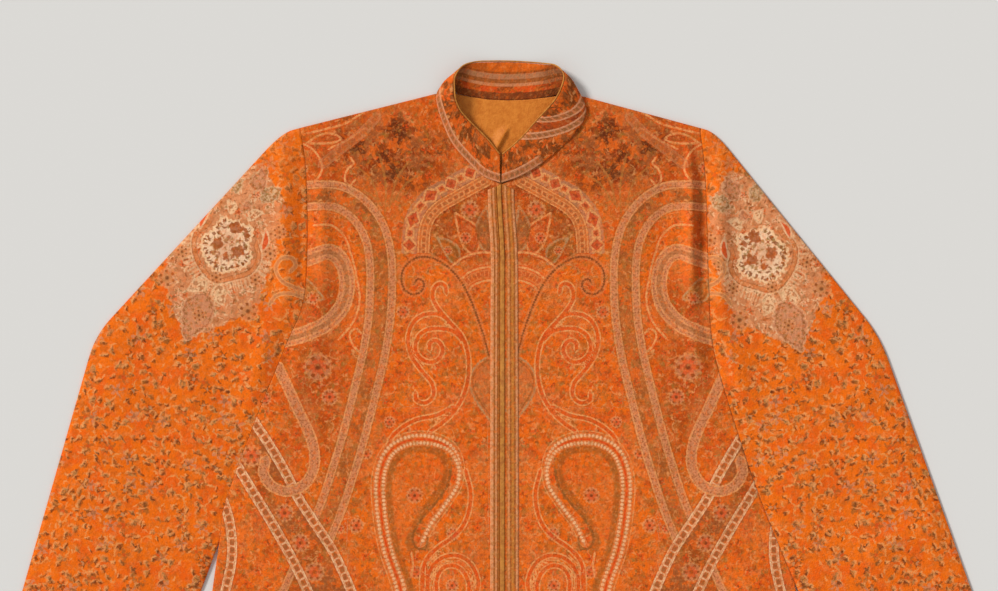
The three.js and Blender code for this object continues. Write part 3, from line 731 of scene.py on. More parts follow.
def bodyPaint():
    paint = Paint("patterned shawl cloth", 0.88, 0.12, (255, 190, 140))
    plan = paint.field("plan")
    _, leafGap, _, kind = paint.field("leaf")
    _, shoulder, fan, sides = paint.field("zone")
    vector = plan[0]
    wobble = unevenness(vector)
    worn = 0.45 + 0.55 * vector.noise(6, 3, 0.6).step(0.36, 0.56)

    def outlined(ground, colour, value, centre, half, strength=1.0):
        return ground.dyed(colour, value.line(centre, half, 0.9) * worn * strength)

    # the ground of each part, its close filling, and larger flowers where it is dark
    broad = paint.field("broad")
    fromBroad = gapTo(broad, wobble)
    inStrip = 1 - paint.field("strip")[1].step(-0.6, 0.4)  # the strip between the straps hides the wide band
    inBroad = fromBroad.line(0, 9) * (1 - inStrip)
    ground = blend("orange", "redOrange", vector.noise(30, 3).step(0.46, 0.66) * 0.5)
    # the sides' rust ground of the pattern; on the left front the same colour is painted shade along the
    # armhole
    ground = ground.dyed((184, 70, 8), sides * 0.9)
    ground = ground.dyed((160, 62, 8), fan * 0.85)
    ground = ground.dyed((126, 44, 4), shoulder * 0.95)
    ground = ground.dyed((178, 98, 40), inBroad * 0.9)
    ground = ground.dyed((158, 70, 18), inStrip * 0.9)
    ground = filling(vector, ground)
    ground = ground.dyed("salmon", vector.noise(48, 2).step(0.48, 0.66) * 0.25)
    lively, pulled = shoulder + fan * 0.4, vector.frayed(9, 10)
    bolder = ((11, 26, 10, 5, (228, 98, 22), lively + inBroad + inStrip),
              (61, 38, 14, 5, (158, 84, 38), lively + inStrip),
              (161, 32, 11.5, 4, (92, 36, 6), lively + inBroad * 0.4))
    for shift, spacing, size, count, colour, shown in bolder:
        bold = pulled.moved(shift, 23).scatter(spacing)
        ground = ground.dyed(colour, petals(bold[2], bold[3], count, size, bold[4], 0.3) * shown * 0.8)
    speckle = blend("rose", "brown", vector.noise(2.6, 3, 0.7).step(0.5, 0.64) * 0.7)

    # the filled shapes first: the inside of the large teardrop, leaves and rosettes
    _, tear, alongTear, _ = paint.field("boteh")
    inTear = tear.step(16, 24) * (tear < 59)
    ground = ground.dyed("orange", inTear * 0.25)
    ground = ground.dyed((150, 86, 26), tear.line(15.5, 2.6, 3.5) * 0.6)
    leafEdge = leafGap + wobble * 0.8
    inLeaf = leafEdge.under(-0.4, 0.2)
    leafTone = blend("redOrange", "olive", kind > 0.5).dyed((176, 112, 62), kind > 1.5)
    ground = ground.dyed(leafTone, inLeaf * 0.4)
    ground = ground.dyed("brown", leafEdge.line(-3.6, 0.5) * 0.5)
    ground = outlined(ground, blend("pale", (190, 140, 92), kind > 0.5), leafEdge, 0, 0.8, 0.85)
    ground = rosettes(ground, paint.field("rosette"), "redOrange")

    # thin scrolls: stems, single pale lines, a dark beaded one, and a double pale line with red between
    ground = ground.dyed((184, 112, 48), gapTo(paint.field("stem"), wobble).line(0, 0.7, 1.1) * 0.7)
    arcs = gapTo(paint.field("arc"), wobble)
    ground = ground.dyed("redOrange", arcs.line(0, 2.6) * 0.4)
    ground = outlined(ground, "pale", arcs, 0, 0.8)
    rung = paint.field("rung")
    gap = gapTo(rung, wobble)
    ground = ground.dyed("salmon", gap.line(0, 5) * 0.75)
    ground = ground.dyed("rust", gap.line(0, 3) * rung[2].beat(5).line(0, 1.4) * 0.7)
    dark = paint.field("dark")
    gap = gapTo(dark, wobble * 0.7)
    ground = ground.dyed("salmon", gap.line(0, 3.4) * 0.7)
    bead = 0.8 + 0.5 * (dark[2] * 1.9).sine()
    ground = ground.dyed("darkBrown", (gap - bead).under(0, 0.8) * 0.75)
    gap = gapTo(paint.field("scroll"), wobble * 0.7)
    ground = ground.dyed("redOrange", gap.line(0, 2.4) * 0.6)
    ground = outlined(ground, "pale", gap, 2.9, 0.4)

    # the wide band: two strands either side of its flowers
    gap = fromBroad + inStrip * 40
    ground = strand(ground, abs(gap - 13), 4.6, speckle, worn)
    ground = ground.dyed("brown", gap.line(8, 0.4) * 0.45 + gap.line(18.4, 0.4) * 0.3)

    # ladders: straps of outlined squares, and the fan's arch
    faded = plan[2].step(-150, -132)  # the strap over the shoulder is fainter
    ladders = (("strap", 5.2, 9.6, 3.2, blend("cream", (196, 126, 82), faded), 900, 1 - 0.45 * faded),
               ("arch", 6.6, 7.6, 2.3, "pale", 126, 1.0))
    for name, half, period, side, edging, length, shown in ladders:
        ladder = paint.field(name)
        gap = gapTo(ladder, wobble * 0.7)
        beat = abs(ladder[2].beat(period)) * 0.8 + wobble * 0.5
        square = (gap ** 6 + abs(beat) ** 6) ** (1 / 6)
        there = (ladder[2] < length) * shown
        ground = ground.dyed((206, 112, 56), gap.line(0, half) * 0.9 * there)
        ground = ground.dyed("rust", square.line(0, side) * 0.45 * there)
        ground = ground.dyed((158, 92, 48), square.line(0, side - 1.4) * 0.75 * there)
        ground = outlined(ground, edging, square, side + 0.4, 0.1, 0.75 * there)
        ground = outlined(ground, edging, gap, half, 0.35, 0.95 * there)
        ground = ground.dyed("wine", gap.line(half + 1.2, 0.35) * 0.35 * there)

    # the arch's crown: larger squares, red and grey by turns
    _, fromArch, alongArch, _ = paint.field("arch")
    fromRow = abs(fromArch - 17.2) + wobble * 0.8
    onCrown = fromRow.under(8.6, 10) * (alongArch > 3) * (alongArch < 128)
    ground = ground.dyed((186, 134, 98), onCrown * 0.55)
    for shift, half, fill in ((0, 6.4, (206, 70, 24)), (13, 4.4, (226, 100, 44))):
        beat = abs((alongArch + shift).beat(26)) + wobble * 0.8
        square = (fromRow + beat) * 0.72 if shift == 0 else fromRow.largest(beat)
        ground = outlined(ground, "pale", square, half, 0.6, onCrown * 0.9)
        ground = ground.dyed(fill, square.under(half - 1.8, half - 0.8) * onCrown * 0.85)
        ground = ground.dyed("wine", (fromRow + beat).under(2, 3.4) * onCrown * 0.7)

    # the ring by the armhole, and the loop below it that runs over the strap
    gap = gapTo(paint.field("ring"), wobble)
    ground = strand(ground, gap, 9.2, speckle, worn)
    ground = ground.dyed((170, 104, 54), gap.line(0, 2) * 0.6)
    ground = outlined(ground, "pale", gap, 4, 0.35, 0.6)
    ground = strand(ground, gapTo(paint.field("loop"), wobble), 6.2, speckle, worn)

    # the large teardrop: two rows of beads that run into one, and the curl round its tip
    inner = 9 * alongTear.under(250, 345)
    for row in (abs(tear), abs(tear - inner)):
        beat = abs(alongTear.beat(4.8))
        scallop = 1.4 + 0.75 * (alongTear * 1.309).cosine()
        ground = ground.dyed("salmon", row.line(0, 3.2) * 0.7)
        ground = ground.dyed((248, 188, 134), (row - scallop).under(-0.4, 0.5) * 0.85)
        bead = (row * row + beat * beat) ** 0.5
        ground = ground.dyed((176, 90, 40), bead.under(0.4, 1.2) * 0.7)
    ground = ground.dyed("redOrange", tear.line(inner * 0.5, 0.9) * (inner > 6))
    ground = outlined(ground, "pale", tear, -5.4, 0.4, 0.7)
    ground = ground.dyed((136, 80, 30), gapTo(paint.field("tip"), wobble).line(0, 1.1) * 0.8)
    return paint.finish(woven(vector, ground), weave(plan), 0.0012)


def rosettes(ground, rosette, petalTone):  # a dotted ring round petals and a dark heart
    _, x, y, size = rosette
    reach = (x * x + y * y) ** 0.5 / size
    angle = y.angleOf(x)
    ground = ground.dyed("rose", reach.under(0.86, 1) * 0.6)
    star = 0.62 + 0.16 * (angle * 6).cosine()
    ground = ground.dyed(petalTone, (reach - star).under(-0.12, 0.1) * 0.7)
    dots = reach.line(0.68, 0.09, 0.08) * (angle * 6).cosine().step(0.1, 0.7)
    ground = ground.dyed("brown", dots * 0.8)
    ground = ground.dyed("darkBrown", reach.under(0.1, 0.3) * 0.8)
    pearls = (angle * 14).cosine().step(-0.5, 0.5)
    return ground.dyed("pale", reach.line(0.94, 0.08, 0.08) * pearls * 0.5)


bodyCloth = bodyPaint()
for side, name in ((-1, "right"), (1, "left")):
    grid = frontGrid(side)
    front = sheetOfGrid(f"front_{name}_cloth", grid, frontFine["drop"],
                        ("shawl_cloth", bodyCloth, f"front_panel_{name}"), bodyFields(side, grid), side < 0)
    print("front", name, len(front.data.vertices), "points")


# The sleeves.

sleeveFine = {"rows": 236, "columns": 210, "drop": 1.9, "edgeDip": 1.6, "edgeReach": 3}


def sleeveOuter(side, shoulder):
    shape = cut["sleeve"][side]
    corners = [np.array(place[:2]) for place in (shoulder, shape["cap"], shape["elbow"], shape["cuffOuter"])]
    line = [corners[0]]
    bends = shape["cap"][2], shape["elbow"][2]
    for corner, before, after, bend in zip(corners[1:3], corners[:2], corners[2:], bends):
        back, ahead = before - corner, after - corner
        start = corner + back * min(bend / np.linalg.norm(back), 0.6)
        end = corner + ahead * bend / np.linalg.norm(ahead)
        t = np.linspace(0, 1, 16)[:, None]
        line.extend((1 - t) ** 2 * start + 2 * t * (1 - t) * corner + t ** 2 * end)
    line.append(corners[3])
    return np.array(line)


def sleevePlan(side, rows, columns):
    shape = cut["sleeve"][side]
    armhole = alongLine(armholeLine(side), np.linspace(0, 1, columns)) + [side * cut["seamHalf"], 0]
    outer = alongLine(sleeveOuter(side, armhole[0]), np.linspace(0, 1, rows))
    inner = alongLine(curveThrough([armhole[-1], shape["bend"], shape["cuffInner"]]), np.linspace(0, 1, rows))
    across = np.linspace(0, 1, columns)[None, :, None]
    along = np.linspace(0, 1, rows)[:, None, None]
    cuff = lerp(outer[-1], inner[-1], across)
    lengthwise = lerp(armhole[None], cuff, along)
    crosswise = lerp(outer[:, None], inner[:, None], across)
    corners = lerp(lerp(armhole[0], armhole[-1], across), cuff, along)
    return lengthwise + crosswise - corners


def sleeveGrid(side):
    plan = sleevePlan(side, sleeveFine["rows"], sleeveFine["columns"])
    fromOuter = np.linalg.norm(plan - plan[:, :1], axis=2)
    fromInner = np.linalg.norm(plan - plan[:, -1:], axis=2)
    fromSeam = np.linalg.norm(plan - plan[:1], axis=2)
    across = np.linspace(0, 1, sleeveFine["columns"])[None]
    sides = np.minimum(liftFrom(fromOuter, 0), liftFrom(fromInner, 0))
    lift = lerp(sides, cut["armholeLift"] * smooth(across * 4), smooth(1 - fromSeam / cut["liftReach"]))
    z = clothTop(plan[..., 0], plan[..., 1], lift)
    z -= seamDip(fromSeam)
    for distance in (fromOuter, fromInner):
        z -= sleeveFine["edgeDip"] * np.exp(-(distance / sleeveFine["edgeReach"]) ** 2)
    return np.dstack([plan, z])


# The shoulder medallion: across (outwards) and up from the middle of its shield.
medallion = {
    -1: {"at": (-325.7, -214.8), "turn": 23.5}, 1: {"at": (313, -226), "turn": 22},
    "shield": [(0, 27), (-9, 25), (-19, 27), (-24, 16), (-25, 4), (-33, -6), (-31, -20), (-17, -32),
               (-4, -41), (9, -37), (24, -25), (31, -9), (24, 3), (22, 14), (17, 25), (8, 24)],
    # base, tip, width, lean, kind: 0 white curl, 1 red stroke, 2 rose cluster, 3 grey fan, 4 brown leaf
    "leaves": [
        ((-12, 32), (-25, 48), 11, -4, 0), ((10, 31), (22, 45), 11, 4, 0), ((-42, 4), (-34, 32), 8, 3, 1),
        ((38, 0), (34, 26), 7, -3, 1), ((-3, 38), (-3, 56), 13, 0, 2), ((-10, -52), (-26, -74), 17, 3, 0),
        ((8, -52), (22, -74), 17, -3, 0), ((0, -66), (0, -133), 40, 0, 2), ((-16, 60), (-34, 84), 20, 0, 3),
        ((14, 56), (28, 80), 18, 0, 3), ((-4, 66), (-6, 100), 22, 0, 2),
        ((-15, -14), (-15, 3), 15, 0, 4), ((11, -15), (11, 1), 15, 0, 4), ((-2, 10), (-2, 28), 17, 0, 4),
        ((-4, -24), (-4, -10), 8, 0, 4), ((-19, 10), (-12, 22), 7, 0, 4),
    ],
    "rosettes": [(50, -70, 12), (-55, -68, 12.5), (-4, -46, 8), (-52, 6, 9),
                 (52, 2, 8), (-48, -30, 8), (46, -34, 8), (-52, 34, 9), (-3, -96, 8), (44, 40, 8)],
    "curl": [
        [(-236, -274), (-248, -270), (-262, -262), (-269, -248), (-262, -236), (-250, -235), (-245, -244),
         (-251, -251)],
        [(-232, -284), (-250, -278), (-268, -280), (-276, -290)],
    ],
}


def sleeveFields(side, grid):
    flat = grid.reshape(-1, 3)
    middle = medallion[side]
    turn = math.radians(middle["turn"])
    dx, dy = (flat[:, 0] - middle["at"][0]) * side, flat[:, 1] - middle["at"][1]
    cosine, sine = math.cos(turn), math.sin(turn)
    points = np.stack([dx * cosine + dy * sine, dy * cosine - dx * sine], axis=1)
    fields = {"plan": np.stack([flat[:, 0] * side, flat[:, 1], flat[:, 2] * 0], axis=1)}
    shield, leaves, curl = Motif(points), Motif(points), Motif(flat[:, :2] * [-side, 1])
    shield.draw(curveThrough(medallion["shield"] + medallion["shield"][:1]), 1, 60)
    for leaf in medallion["leaves"]:
        leaves.draw(teardrop(*leaf[:4]), leaf[4])
    for line in medallion["curl"]:
        curl.draw(curveThrough(line))
    fields.update(shield=shield.field(), leaf=leaves.field(), curl=curl.field())
    fields["rosette"] = nearestRosette(points, medallion["rosettes"])
    across, up = points[:, 0], points[:, 1]
    width = np.interp(up, [-134, -110, -70, -40, 20, 70, 104], [4, 26, 64, 68, 62, 48, 6])
    inMedallion = np.clip((width - np.abs(across)) / 14, 0, 1) * (up > -136) * (up < 106)
    capPatch = np.clip(blob(flat[:, :2] * [side, 1], 262, -110, 34, 30), 0, 1)
    edge = np.clip(blob(flat[:, :2] * [side, 1], 262, -236, 20, 80), 0, 1)
    above = smooth((up - 4) / 20)  # the part of the medallion over the shield, where no ring shows
    plainer = np.maximum(capPatch, edge * 0.4)
    fields["zone"] = np.stack([inMedallion, np.where(inMedallion > 0, above, 0), plainer], axis=1)
    return fields


def sprig(vector, ground, colour, spacing, length, width, share):  # a dark leaf with a pale one beside it
    x, y, reach, angle, chance, second = vector.scatter(spacing)
    size = 0.3 + second * 0.85
    shown = second > 1 - share
    beside = pointedLeaf(x - 1.8, y - 1.5, chance, size * length, size * width, 0.1, 1.6)
    ground = ground.dyed((242, 164, 96), beside * shown * 0.8)
    mottled = blend(colour, (94, 36, 4), vector.noise(3.4, 2).step(0.4, 0.54) * 0.85)
    mottled = mottled.dyed((226, 120, 40), vector.moved(70, 30).noise(2.8, 2).step(0.54, 0.66) * 0.8)
    inside = pointedLeaf(x, y, chance, size * length, size * width, 0.2, 1.5)
    return ground.dyed(mottled, inside * shown * 0.9)


sleeveGrowth = {
    "cloth": [  # the sleeve's scattered stems, blossoms and leaves
        (curls, 5, 5, (240, 154, 80), 29, 8, 0.7, 0.75),
        (blooms, 17, 83, (204, 142, 104), (140, 84, 44), 38, 9, 5, 0.6, 0.6),
        (blooms, 3, 3, (156, 90, 36), "redOrange", 41, 8, 4, 0.6, 0.65),
        (blooms, 44, 7, (120, 60, 16), (206, 150, 104), 31, 6.4, 5, 0.5, 0.7),
        (bits, 23, 61, (242, 164, 96), 13, 4.2, 1.5, 0.6, 0.65),
        (sprig, 37, 19, (150, 82, 20), 16.5, 5.6, 2.6, 0.66),
        (sprig, 71, 43, (104, 42, 6), 14.5, 5, 2.2, 0.6),
        (sprig, 12, 91, (178, 126, 68), 21, 6.4, 3, 0.6),
    ],
    "medallion": [
        (blooms, 19, 25, (234, 100, 40), "wine", 19, 5, 5, 0.55, 0.75),
        (blooms, 61, 75, (246, 190, 146), "olive", 14, 4.4, 6, 0.6, 0.75),
        (bits, 0, 0, (158, 112, 66), 9, 3.4, 1.5, 0.6, 0.7),
        (bits, 40, 12, "cream", 8.4, 3.6, 1.1, 0.65, 0.75),
        (bits, 9, 55, "brown", 10, 3, 1.4, 0.55, 0.7),
    ],
    "shield": [
        (bits, 0, 0, "olive", 7.4, 3.2, 1.8, 0.85, 0.85),
        (bits, 30, 9, "brown", 8.6, 3.4, 1.8, 0.7, 0.85),
    ],
}


def sprigs(vector, ground):
    vector = vector.frayed(5, 7.5)
    ground = ground.dyed((206, 96, 20), vector.noise(12, 4, 0.6).step(0.52, 0.68) * 0.6)
    ground = ground.dyed((240, 134, 66), vector.moved(33, 90).noise(10, 4, 0.6).step(0.54, 0.7) * 0.5)
    return grown(vector, ground, sleeveGrowth["cloth"])


def sleevePaint():
    paint = Paint("flowered sleeve cloth", 0.88, 0.12, (255, 190, 120))
    plan = paint.field("plan")
    _, leafGap, _, kind = paint.field("leaf")
    _, shieldGap, along, _ = paint.field("shield")
    _, inMedallion, above, plainer = paint.field("zone")
    vector = plan[0]
    wobble = unevenness(vector)
    ground = sprigs(vector, blend((244, 110, 6), (240, 96, 10), vector.noise(26, 2).step(0.46, 0.64)))

    # the medallion's rose ground, ragged at its edge
    frayed = vector.frayed(5, 7)
    rose = blend((228, 148, 98), (208, 130, 82), vector.noise(9, 3).step(0.4, 0.6))
    ragged = (inMedallion + (vector.noise(8, 3) - 0.5) * 1.1).step(0.42, 0.66)
    ground = ground.dyed(grown(frayed, rose, sleeveGrowth["medallion"]), ragged)
    ground = ground.dyed((240, 112, 14), plainer * 0.5)

    # a comb of rays, then the orange ring under the shield
    out = shieldGap + wobble * 0.6
    below = above.under(0.45, 0.6)
    rays = abs(along.beat(3.6)).line(0, 0.5) * out.line(19, 6) * below
    ground = ground.dyed("cream", rays * 0.5)
    ground = ground.dyed((230, 122, 52), out.line(8.2, 2.2) * below * 0.4)
    ground = ground.dyed("brown", (out.line(5.6, 0.3) + out.line(10.8, 0.3)) * below * 0.35)
    ground = ground.dyed("cream", out.line(12.4, 0.5) * below * 0.5)

    # the shield: a scalloped white rim and a ground of white with many small leaves
    scallop = out - 0.9 * (along * 0.9).sine() + wobble
    inside = scallop.under(-0.8, 0)
    white = grown(frayed, (250, 206, 164), sleeveGrowth["shield"])
    white = blooms(vector.moved(2, 13), white, (206, 130, 70), "wine", 15, 4.4, 4, 0.6, 0.8)
    white = white.dyed((214, 136, 92), out.under(-19, -11) * 0.4)
    ground = ground.dyed(white, inside)
    teeth = abs(along.beat(6.98)).line(0, 1.1) * out.line(-4.6, 2)
    ground = ground.dyed("brown", teeth * 0.8)
    ground = ground.dyed("cream", scallop.line(-0.8, 1.1))

    # leaves by kind: white curls, red strokes, rose clusters and grey fans
    edge = leafGap + (vector.noise(6, 3) - 0.5) * 9 * (kind > 1.5) + wobble * 0.8
    inLeaf = edge.under(-0.6, 0.2)
    fill = blend("cream", (182, 112, 66), frayed.noise(4.4, 2).step(0.47, 0.55) * 0.85)
    cluster = blooms(vector, (214, 140, 98), "olive", "brown", 6, 2.2, 5, 0.8, 0.8)
    fan = blend((214, 172, 128), "olive", vector.noise(3.4, 2).step(0.46, 0.6) * 0.8)
    for place, colour in enumerate(("redOrange", cluster, fan, (170, 80, 30))):
        fill = fill.dyed(colour, kind > place + 0.5)
    ground = ground.dyed(fill, inLeaf * 0.85)
    ground = ground.dyed("brown", edge.line(-3.2, 0.6) * (kind > 1.5) * 0.4)
    ground = ground.dyed("cream", edge.line(0, 0.7) * (0.65 - 0.4 * (kind > 1.5)) * (kind < 3.5))
    ground = rosettes(ground, paint.field("rosette"), (206, 130, 74))
    gap = gapTo(paint.field("curl"), wobble * 0.7)
    ground = ground.dyed((206, 134, 84), gap.line(0, 1.6) * 0.8)
    ground = ground.dyed("pale", gap.line(2.2, 0.3) * 0.8)
    return paint.finish(woven(vector, ground, 0.7), weave(plan), 0.0012)


sleeveCloth = sleevePaint()
for side, name in ((-1, "right"), (1, "left")):
    grid = sleeveGrid(side)
    sleeve = sheetOfGrid(f"sleeve_{name}_cloth", grid, sleeveFine["drop"],
                         ("sleeve_cloth", sleeveCloth, f"sleeve_{name}_top"),
                         sleeveFields(side, grid), side < 0)
    print("sleeve", name, len(sleeve.data.vertices), "points")


# The lower layer: the back and the under sleeves, walls of plain filled cloth that rest on the floor.

lowerFine = {"rows": 150, "columns": 104, "sleeveRows": 96, "sleeveColumns": 70, "shift": (210, -90)}
farAway = (60, 0, 60)  # what a motif's field holds where the motif isn't near


def plainFields(grid, side, names):
    flat = grid.reshape(-1, 3)
    across = np.abs(flat[:, 0] - frontFine["mirrorX"]) if side is None else flat[:, 0] * side
    fields = {name: np.tile(farAway, (len(flat), 1)) for name in names}
    dx, dy = lowerFine["shift"]
    fields["plan"] = np.stack([across + dx, flat[:, 1] + dy, flat[:, 2] * 0], axis=1)
    fields["rosette"] = np.tile((60, 60, 0.01), (len(flat), 1))
    fields["zone"] = np.zeros((len(flat), 3))
    return {name: (values, values) for name, values in fields.items()}


def backGrid(rows, columns):
    armSteps = np.linspace(0, 1, rows // 2)
    lowShares = np.linspace(0, 1, rows - rows // 2 + 1)[1:]
    edges = {side: frontEdges(side, armSteps, lowShares)[1] for side in (-1, 1)}
    across = np.linspace(0, 1, columns)
    plan = lerp(edges[-1][:, None], edges[1][:, None], across[None, :, None])
    neck = [(row[0], row[1] - cut["backNeckGap"]) for row in collarTable[8:15]]
    shoulders = np.vstack([edges[-1][0], cut["neck"][-1][0], neck, cut["neck"][1][0], edges[1][0]])
    top = np.stack([plan[0, :, 0], np.interp(plan[0, :, 0], shoulders[:, 0], shoulders[:, 1])], axis=1)
    fade = np.concatenate([1 - armSteps, np.zeros(len(lowShares))])
    plan += (top - plan[0])[None] * fade[:, None, None]
    low = np.concatenate([np.zeros(len(armSteps)), lowShares ** 2])
    plan[..., 1] -= cut["hemDrop"] * low[:, None] * (1 - ((across * 2 - 1) ** 2))[None]
    return plan


def layer(plan, z):
    return np.dstack([plan, np.full(plan.shape[:2], z)])


collarTable = [  # seam x, y, z, rim x, y, z and bulge, from the right front end round the back to the left
    (0.4, -145, 8.3, -0.3, -112, 9.6, 0), (-20, -137, 8.3, -14, -95, 10, 0),
    (-41, -117, 8.3, -29, -80, 11, 0.5), (-57, -98, 8.3, -41, -68, 13, 1),
    (-67, -77, 8.2, -49, -58, 17, 1.5), (-74, -56, 8, -54, -46, 21, 2), (-76, -40, 7.4, -55.5, -32, 23, 3),
    (-70, -34, 6.4, -54.5, -18, 21, 4), (-57, -36, 5, -45, -6, 14, 2.5), (-37, -41, 3, -29, -1, 7.5, 0.5),
    (-14, -44.5, 1.6, -10, 0, 3.4, 0), (9, -45.5, 1.6, 10, 0, 2.6, 0), (33, -44.5, 1.6, 31, -1, 3, 0),
    (56, -42, 3, 53, -3, 6.5, 0.5), (76, -38, 5, 68, -6, 13, 2.5), (89, -36, 6.6, 77, -16, 20, 4),
    (98, -43, 7.6, 75, -30, 23, 3), (103, -61, 8.2, 67, -46, 21, 2), (93, -82, 8.3, 55, -60, 17, 1.5),
    (72, -104, 8.3, 42, -74, 13, 1), (48, -123, 8.3, 28, -90, 11, 0.5), (24, -137, 8.3, 14, -103, 10, 0),
    (1.7, -145, 8.3, 2.9, -112, 9.6, 0),
]
bodyFieldNames = [*bodyCurves, "leaf", "strip"]
plan = backGrid(lowerFine["rows"], lowerFine["columns"])
upper = layer(plan, cut["wall"])
back = wallOfGrids("back_cloth", upper, layer(plan, 0), ("shawl_cloth", bodyCloth, "back_panel"),
                   plainFields(upper, None, bodyFieldNames))
for side, name in ((-1, "right"), (1, "left")):
    plan = sleevePlan(side, lowerFine["sleeveRows"], lowerFine["sleeveColumns"])
    upper = layer(plan, cut["wall"])
    under = wallOfGrids(f"sleeve_{name}_lower", upper, layer(plan, 0),
                        ("sleeve_cloth", sleeveCloth, f"sleeve_{name}_under"),
                        plainFields(upper, side, ["leaf", "shield", "curl"]), side < 0)
print("back and under sleeves laid")


# The stand collar: its outside faces up at the front, and its inside faces up behind the neck.

collarFine = {
    "wall": 2.6, "perSpan": 21, "across": 26, "edgeThin": 0.45, "edgeReach": 0.05,
    "pipingRadius": 0.9, "pipingGap": 0.7, "pipingSides": 8,
}


def collarPoints(across):
    table = np.array(collarTable)
    seam, rim = (curveThrough(table[:, k:k + 3], collarFine["perSpan"]) for k in (0, 3))
    bulge = np.interp(np.linspace(0, 1, len(seam)), np.linspace(0, 1, len(table)), table[:, 6])
    points = lerp(seam[:, None], rim[:, None], across[None, :, None])
    outward = points[..., :2] - cut["neckCentre"]
    outward /= np.linalg.norm(outward, axis=2)[..., None]
    points[..., :2] += outward * (bulge[:, None] * np.sin(math.pi * across))[..., None]
    return points


across = np.linspace(0, 1, collarFine["across"])
middle = collarPoints(across)
normal = np.cross(np.gradient(middle, axis=0), np.gradient(middle, axis=1))
normal /= np.linalg.norm(normal, axis=2)[..., None]
thin, reach = collarFine["edgeThin"], collarFine["edgeReach"]
half = 1 - thin * np.exp(-(across / reach) ** 2) - thin * np.exp(-((1 - across) / reach) ** 2)
half = collarFine["wall"] / 2 * half
inside, outside = middle + normal * half[None, :, None], middle - normal * half[None, :, None]
travelled = np.cumsum(np.linalg.norm(np.diff(middle[:, 0], axis=0, prepend=middle[:1, 0]), axis=1))
width = np.linalg.norm(middle[:, -1] - middle[:, 0], axis=1)
leftTurn = float(travelled[16 * collarFine["perSpan"]])  # where the collar leaves the left shoulder


def collarField(face):
    along = np.tile(travelled[:, None], (1, len(across)))
    return np.dstack([along, width[:, None] * across, np.full(along.shape, face)])


collarGrowth = [
    (blooms, 0, 0, (236, 92, 20), "brown", 22, 8.5, 5, 0.75, 0.75),
    (blooms, 29, 51, (120, 54, 16), "orange", 24, 7, 4, 0.7, 0.7),
    (bits, 9, 31, "pale", 12, 4.4, 1.5, 0.6, 0.6),
]


def collarPaint():
    paint = Paint("striped collar cloth", 0.86, 0.12, (255, 190, 140))
    place = paint.field("collar")
    vector, along, up, face = place
    # outside: orange and brown flowers, a pale band low on the right side and two pale bands across the left
    wobble, vector = unevenness(vector), vector.frayed(5, 6)
    cloth = blend((216, 92, 16), (122, 56, 10), vector.noise(16, 4, 0.6).step(0.42, 0.58))
    cloth = cloth.dyed((166, 94, 46), vector.moved(60, 20).noise(14, 3, 0.6).step(0.52, 0.66) * 0.6)
    cloth = grown(vector, cloth, collarGrowth)
    first, second = (along - leftTurn - up * 1.43) / 1.745, (along - leftTurn - 22 - up * 2.05) / 2.28
    ends = along.step(leftTurn + 96, leftTurn + 104) + 1 - along.step(176, 190)
    cloth = cloth.dyed("wine", ((first + second) / 2).line(0, 4, 2) * 0.6)
    for row, half, shown in ((abs(up - 5.2), 4.8, ends * 0.9), (abs(first), 4, 1), (abs(second), 4, 1)):
        row = row + wobble * 0.7
        squares = abs(along.beat(7.5)).line(0, 2.1, 1) * row.line(0, 1.8)
        band = blend((196, 126, 86), (140, 88, 44), squares * 0.8)
        cloth = cloth.dyed(band, row.line(0, half) * shown * 0.85)
        cloth = cloth.dyed((232, 162, 118), row.line(half - 0.4, 0.6) * shown * 0.65)
    # inside: stripes along the band, with painted shade that darkens it towards its corners
    lined = blend((208, 94, 22), (148, 64, 16), vector.noise(11, 4, 0.6).step(0.42, 0.6))
    stripes = ((24, 6, (150, 84, 38), 0.8), (28, 2.6, (196, 132, 92), 0.65), (18, 1.2, "rose", 0.8),
               (4, 4.4, (112, 50, 18), 0.8), (33, 0.8, "brown", 0.6), (39, 5, "orange", 0.4))
    for at, width, colour, strength in stripes:
        lined = lined.dyed(colour, up.line(at, width, 1.2) * strength)
    lined = lined.dyed("redOrange", up.line(12, 3, 1) * vector.noise(10, 2).step(0.45, 0.55) * 0.8)
    # painted shade: the inside of the band turns darker towards both corners, where it curves away from the
    # light
    corner = 1 - along.line(222, 38, 22)
    lined = lined.dyed("darkBrown", corner * 0.6)
    cloth = cloth.dyed(lined, face > 0.5)
    return paint.finish(woven(vector, cloth, 0.75), weave(place), 0.001)


collar = wallOfGrids("collar_cloth_band", inside, outside, ("collar_cloth", collarPaint(), "collar_stand"),
                     {"collar": (collarField(1), collarField(0))})


# A thin satin roll along the collar's free edge.

def satinPaint(name, colour, shade, roughness):
    paint = Paint(name, roughness, 0.15, (255, 220, 160))
    place = paint.field("plan")
    slub = place[0].noise(7, 4, 0.6).step(0.3, 0.75)
    return paint.finish(blend(colour, shade, slub), weave(place, 0.3), 0.0006)


def tubeAlong(route, radius, sides):
    ahead = np.gradient(route, axis=0)
    ahead /= np.linalg.norm(ahead, axis=1)[:, None]
    first = np.cross(ahead, (0, 0, 1))
    first /= np.linalg.norm(first, axis=1)[:, None]
    second = np.cross(ahead, first)
    angle = np.linspace(0, 2 * math.pi, sides, endpoint=False)
    ring = first[:, None] * np.cos(angle)[None, :, None] + second[:, None] * np.sin(angle)[None, :, None]
    points = route[:, None] + ring * radius
    rows = len(route)
    start = np.arange(rows - 1)[:, None] * sides
    here, after = start + np.arange(sides), start + (np.arange(sides) + 1) % sides
    faces = np.stack([here, after, after + sides, here + sides], axis=2).reshape(-1, 4)
    ends = np.array([[k, k + 1, sides - 2 - k, sides - 1 - k] for k in range(sides // 2 - 1)])
    return points.reshape(-1, 3), np.vstack([faces, ends[:, ::-1], ends + (rows - 1) * sides])


